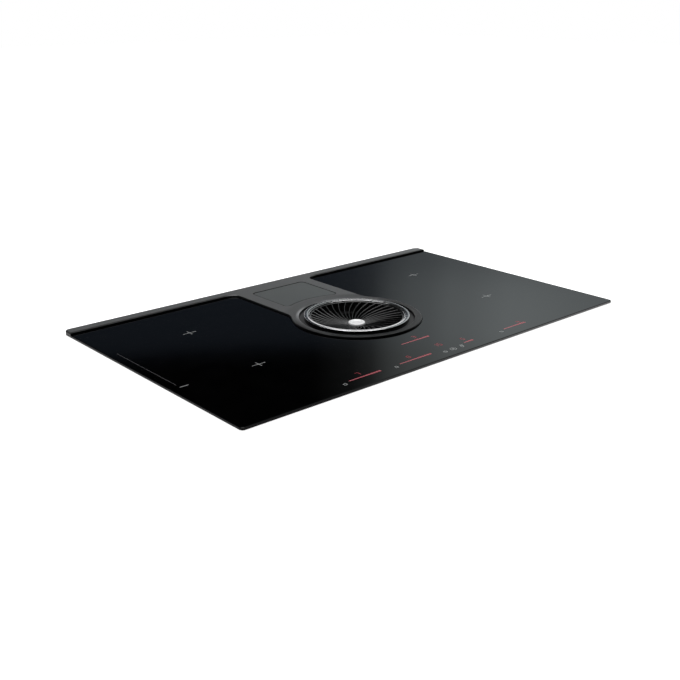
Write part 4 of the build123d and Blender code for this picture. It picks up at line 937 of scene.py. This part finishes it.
# ---- outlet -------------------------------------------------------------------------
# Adapter box with a round spigot and two flaps on one steel pin.
# The spigot fits inside a 150 mm duct, and the pin stands upright.
dress("outlet_spigot", duct_plastic)
dress("damper_pin", spring_steel)
dress("damper_flap_left", wheel_plastic)
dress("damper_flap_right", wheel_plastic)


# ---- spill drawer -------------------------------------------------------------------
# Sheet housing with ledges for a grey plastic drawer.
# The drawer's rim slides on the ledges, and the drawer pulls forward.
dress("drawer_housing", zinc_sheet)
dress("drawer_runners", zinc_sheet)
dress("spill_drawer", textured("grey_drawer_plastic", (0.10, 0.105, 0.11), (0.13, 0.135, 0.14), 500.0,
                               rough=(0.3, 0.45), bump=0.1, depth=0.0001))


# ---- mains terminal box -------------------------------------------------------------
# Dark plastic box with a screwed cover, a clamp block and a cable gland.
# It hangs under the tray, and the bore of its gland is open at the rear.
dress("terminal_box", duct_plastic)
dress("terminal_cover", duct_plastic)
dress("terminal_block", cream_plastic)
dress("cable_gland", moulded_black)


# ---- screws -------------------------------------------------------------------------
# Zinc-plated pan-head screws with a cross recess, one for each screw of the CAD node.
# They hold the sheets, shells, boards and covers below the plate together.
def screw_boxes(mesh):
    """Middle, head radius, head limits and far end of each separate screw in a mesh."""
    parent = list(range(len(mesh.vertices)))

    def root(i):
        while parent[i] != i:
            parent[i] = parent[parent[i]]
            i = parent[i]
        return i

    for e in mesh.edges:
        parent[root(e.vertices[0])] = root(e.vertices[1])
    groups = {}
    for v in mesh.vertices:
        groups.setdefault(root(v.index), []).append(v.co)
    found = []
    for points in groups.values():
        low = Vector(min(p[k] for p in points) for k in range(3))
        high = Vector(max(p[k] for p in points) for k in range(3))
        middle = (low + high) / 2
        radius = (high.x - low.x) / 2
        wide = [p.z for p in points if math.hypot(p.x - middle.x, p.y - middle.y) > 0.8 * radius]
        found.append((middle, radius, min(wide), max(wide), low.z, high.z))
    return found


recess_share = 0.6
recess_width_share = 0.17
recess_depth_share = 0.55
head_rings = 14
head_steps = 48
head_drop_share = 0.45
shank_share = 0.48
thread_pitch = 0.0008
thread_end_share = 0.94
screw_points, screw_faces = [], []


def add_screw(middle, radius, head_low, head_high, low, high):
    """Domed head with a cross recess and a threaded shank with a tapered end."""
    up = 1 if high - head_high < head_low - low else -1
    seat, crown, far = (head_low, head_high, low) if up > 0 else (head_high, head_low, high)
    head = abs(crown - seat)
    shank = shank_share * radius
    recess = recess_depth_share * head
    rings = []
    for i in range(1, head_rings + 1):
        share = i / head_rings
        height = head * (1 - head_drop_share * share**4)
        rings.append((share * radius, height, True))
    rings.append((radius, 0.08 * head, False))
    rings.append((0.96 * radius, 0.0, False))
    rings.append((shank, 0.0, False))
    length = abs(far - seat)
    turns = max(4, round(length / thread_pitch))
    for i in range(turns):
        for share, grow in ((0.25, 0.86), (0.75, 1.0)):
            rings.append((shank * grow, -length * thread_end_share * (i + share) / turns, False))
    rings.append((0.6 * shank, -length, False))
    first = len(screw_points)
    screw_points.append((middle.x, middle.y, seat + up * (head - recess)))
    for r, height, top in rings:
        for k in range(head_steps):
            a = 2 * math.pi * k / head_steps
            x, y = r * math.cos(a), r * math.sin(a)
            sunk = top and r < recess_share * radius and min(abs(x), abs(y)) < recess_width_share * radius
            screw_points.append((middle.x + x, middle.y + y, seat + up * (height - (recess if sunk else 0))))
    screw_points.append((middle.x, middle.y, far))
    last = len(screw_points) - 1
    for k in range(head_steps):
        following = (k + 1) % head_steps
        screw_faces.append((first, first + 1 + k, first + 1 + following))
        screw_faces.append((last, last - head_steps + following, last - head_steps + k))
        for i in range(len(rings) - 1):
            here, there = first + 1 + i * head_steps, first + 1 + (i + 1) * head_steps
            screw_faces.append((here + k, there + k, there + following, here + following))


for found in screw_boxes(nodes["assembly_screws"].data):
    add_screw(*found)
screws = new_mesh("cross_head_screws", screw_points, screw_faces, smooth=True)
face_outwards(screws)
screws.data.set_sharp_from_angle(angle=math.radians(35))
zinc_plate = textured("zinc_plate", (0.52, 0.53, 0.54), (0.66, 0.67, 0.68), 700.0, metallic=1.0,
                      rough=(0.22, 0.36), bump=0.08, depth=0.00005)
screws.data.materials.append(zinc_plate)
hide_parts("assembly_screws")
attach(screws, "cooktop")
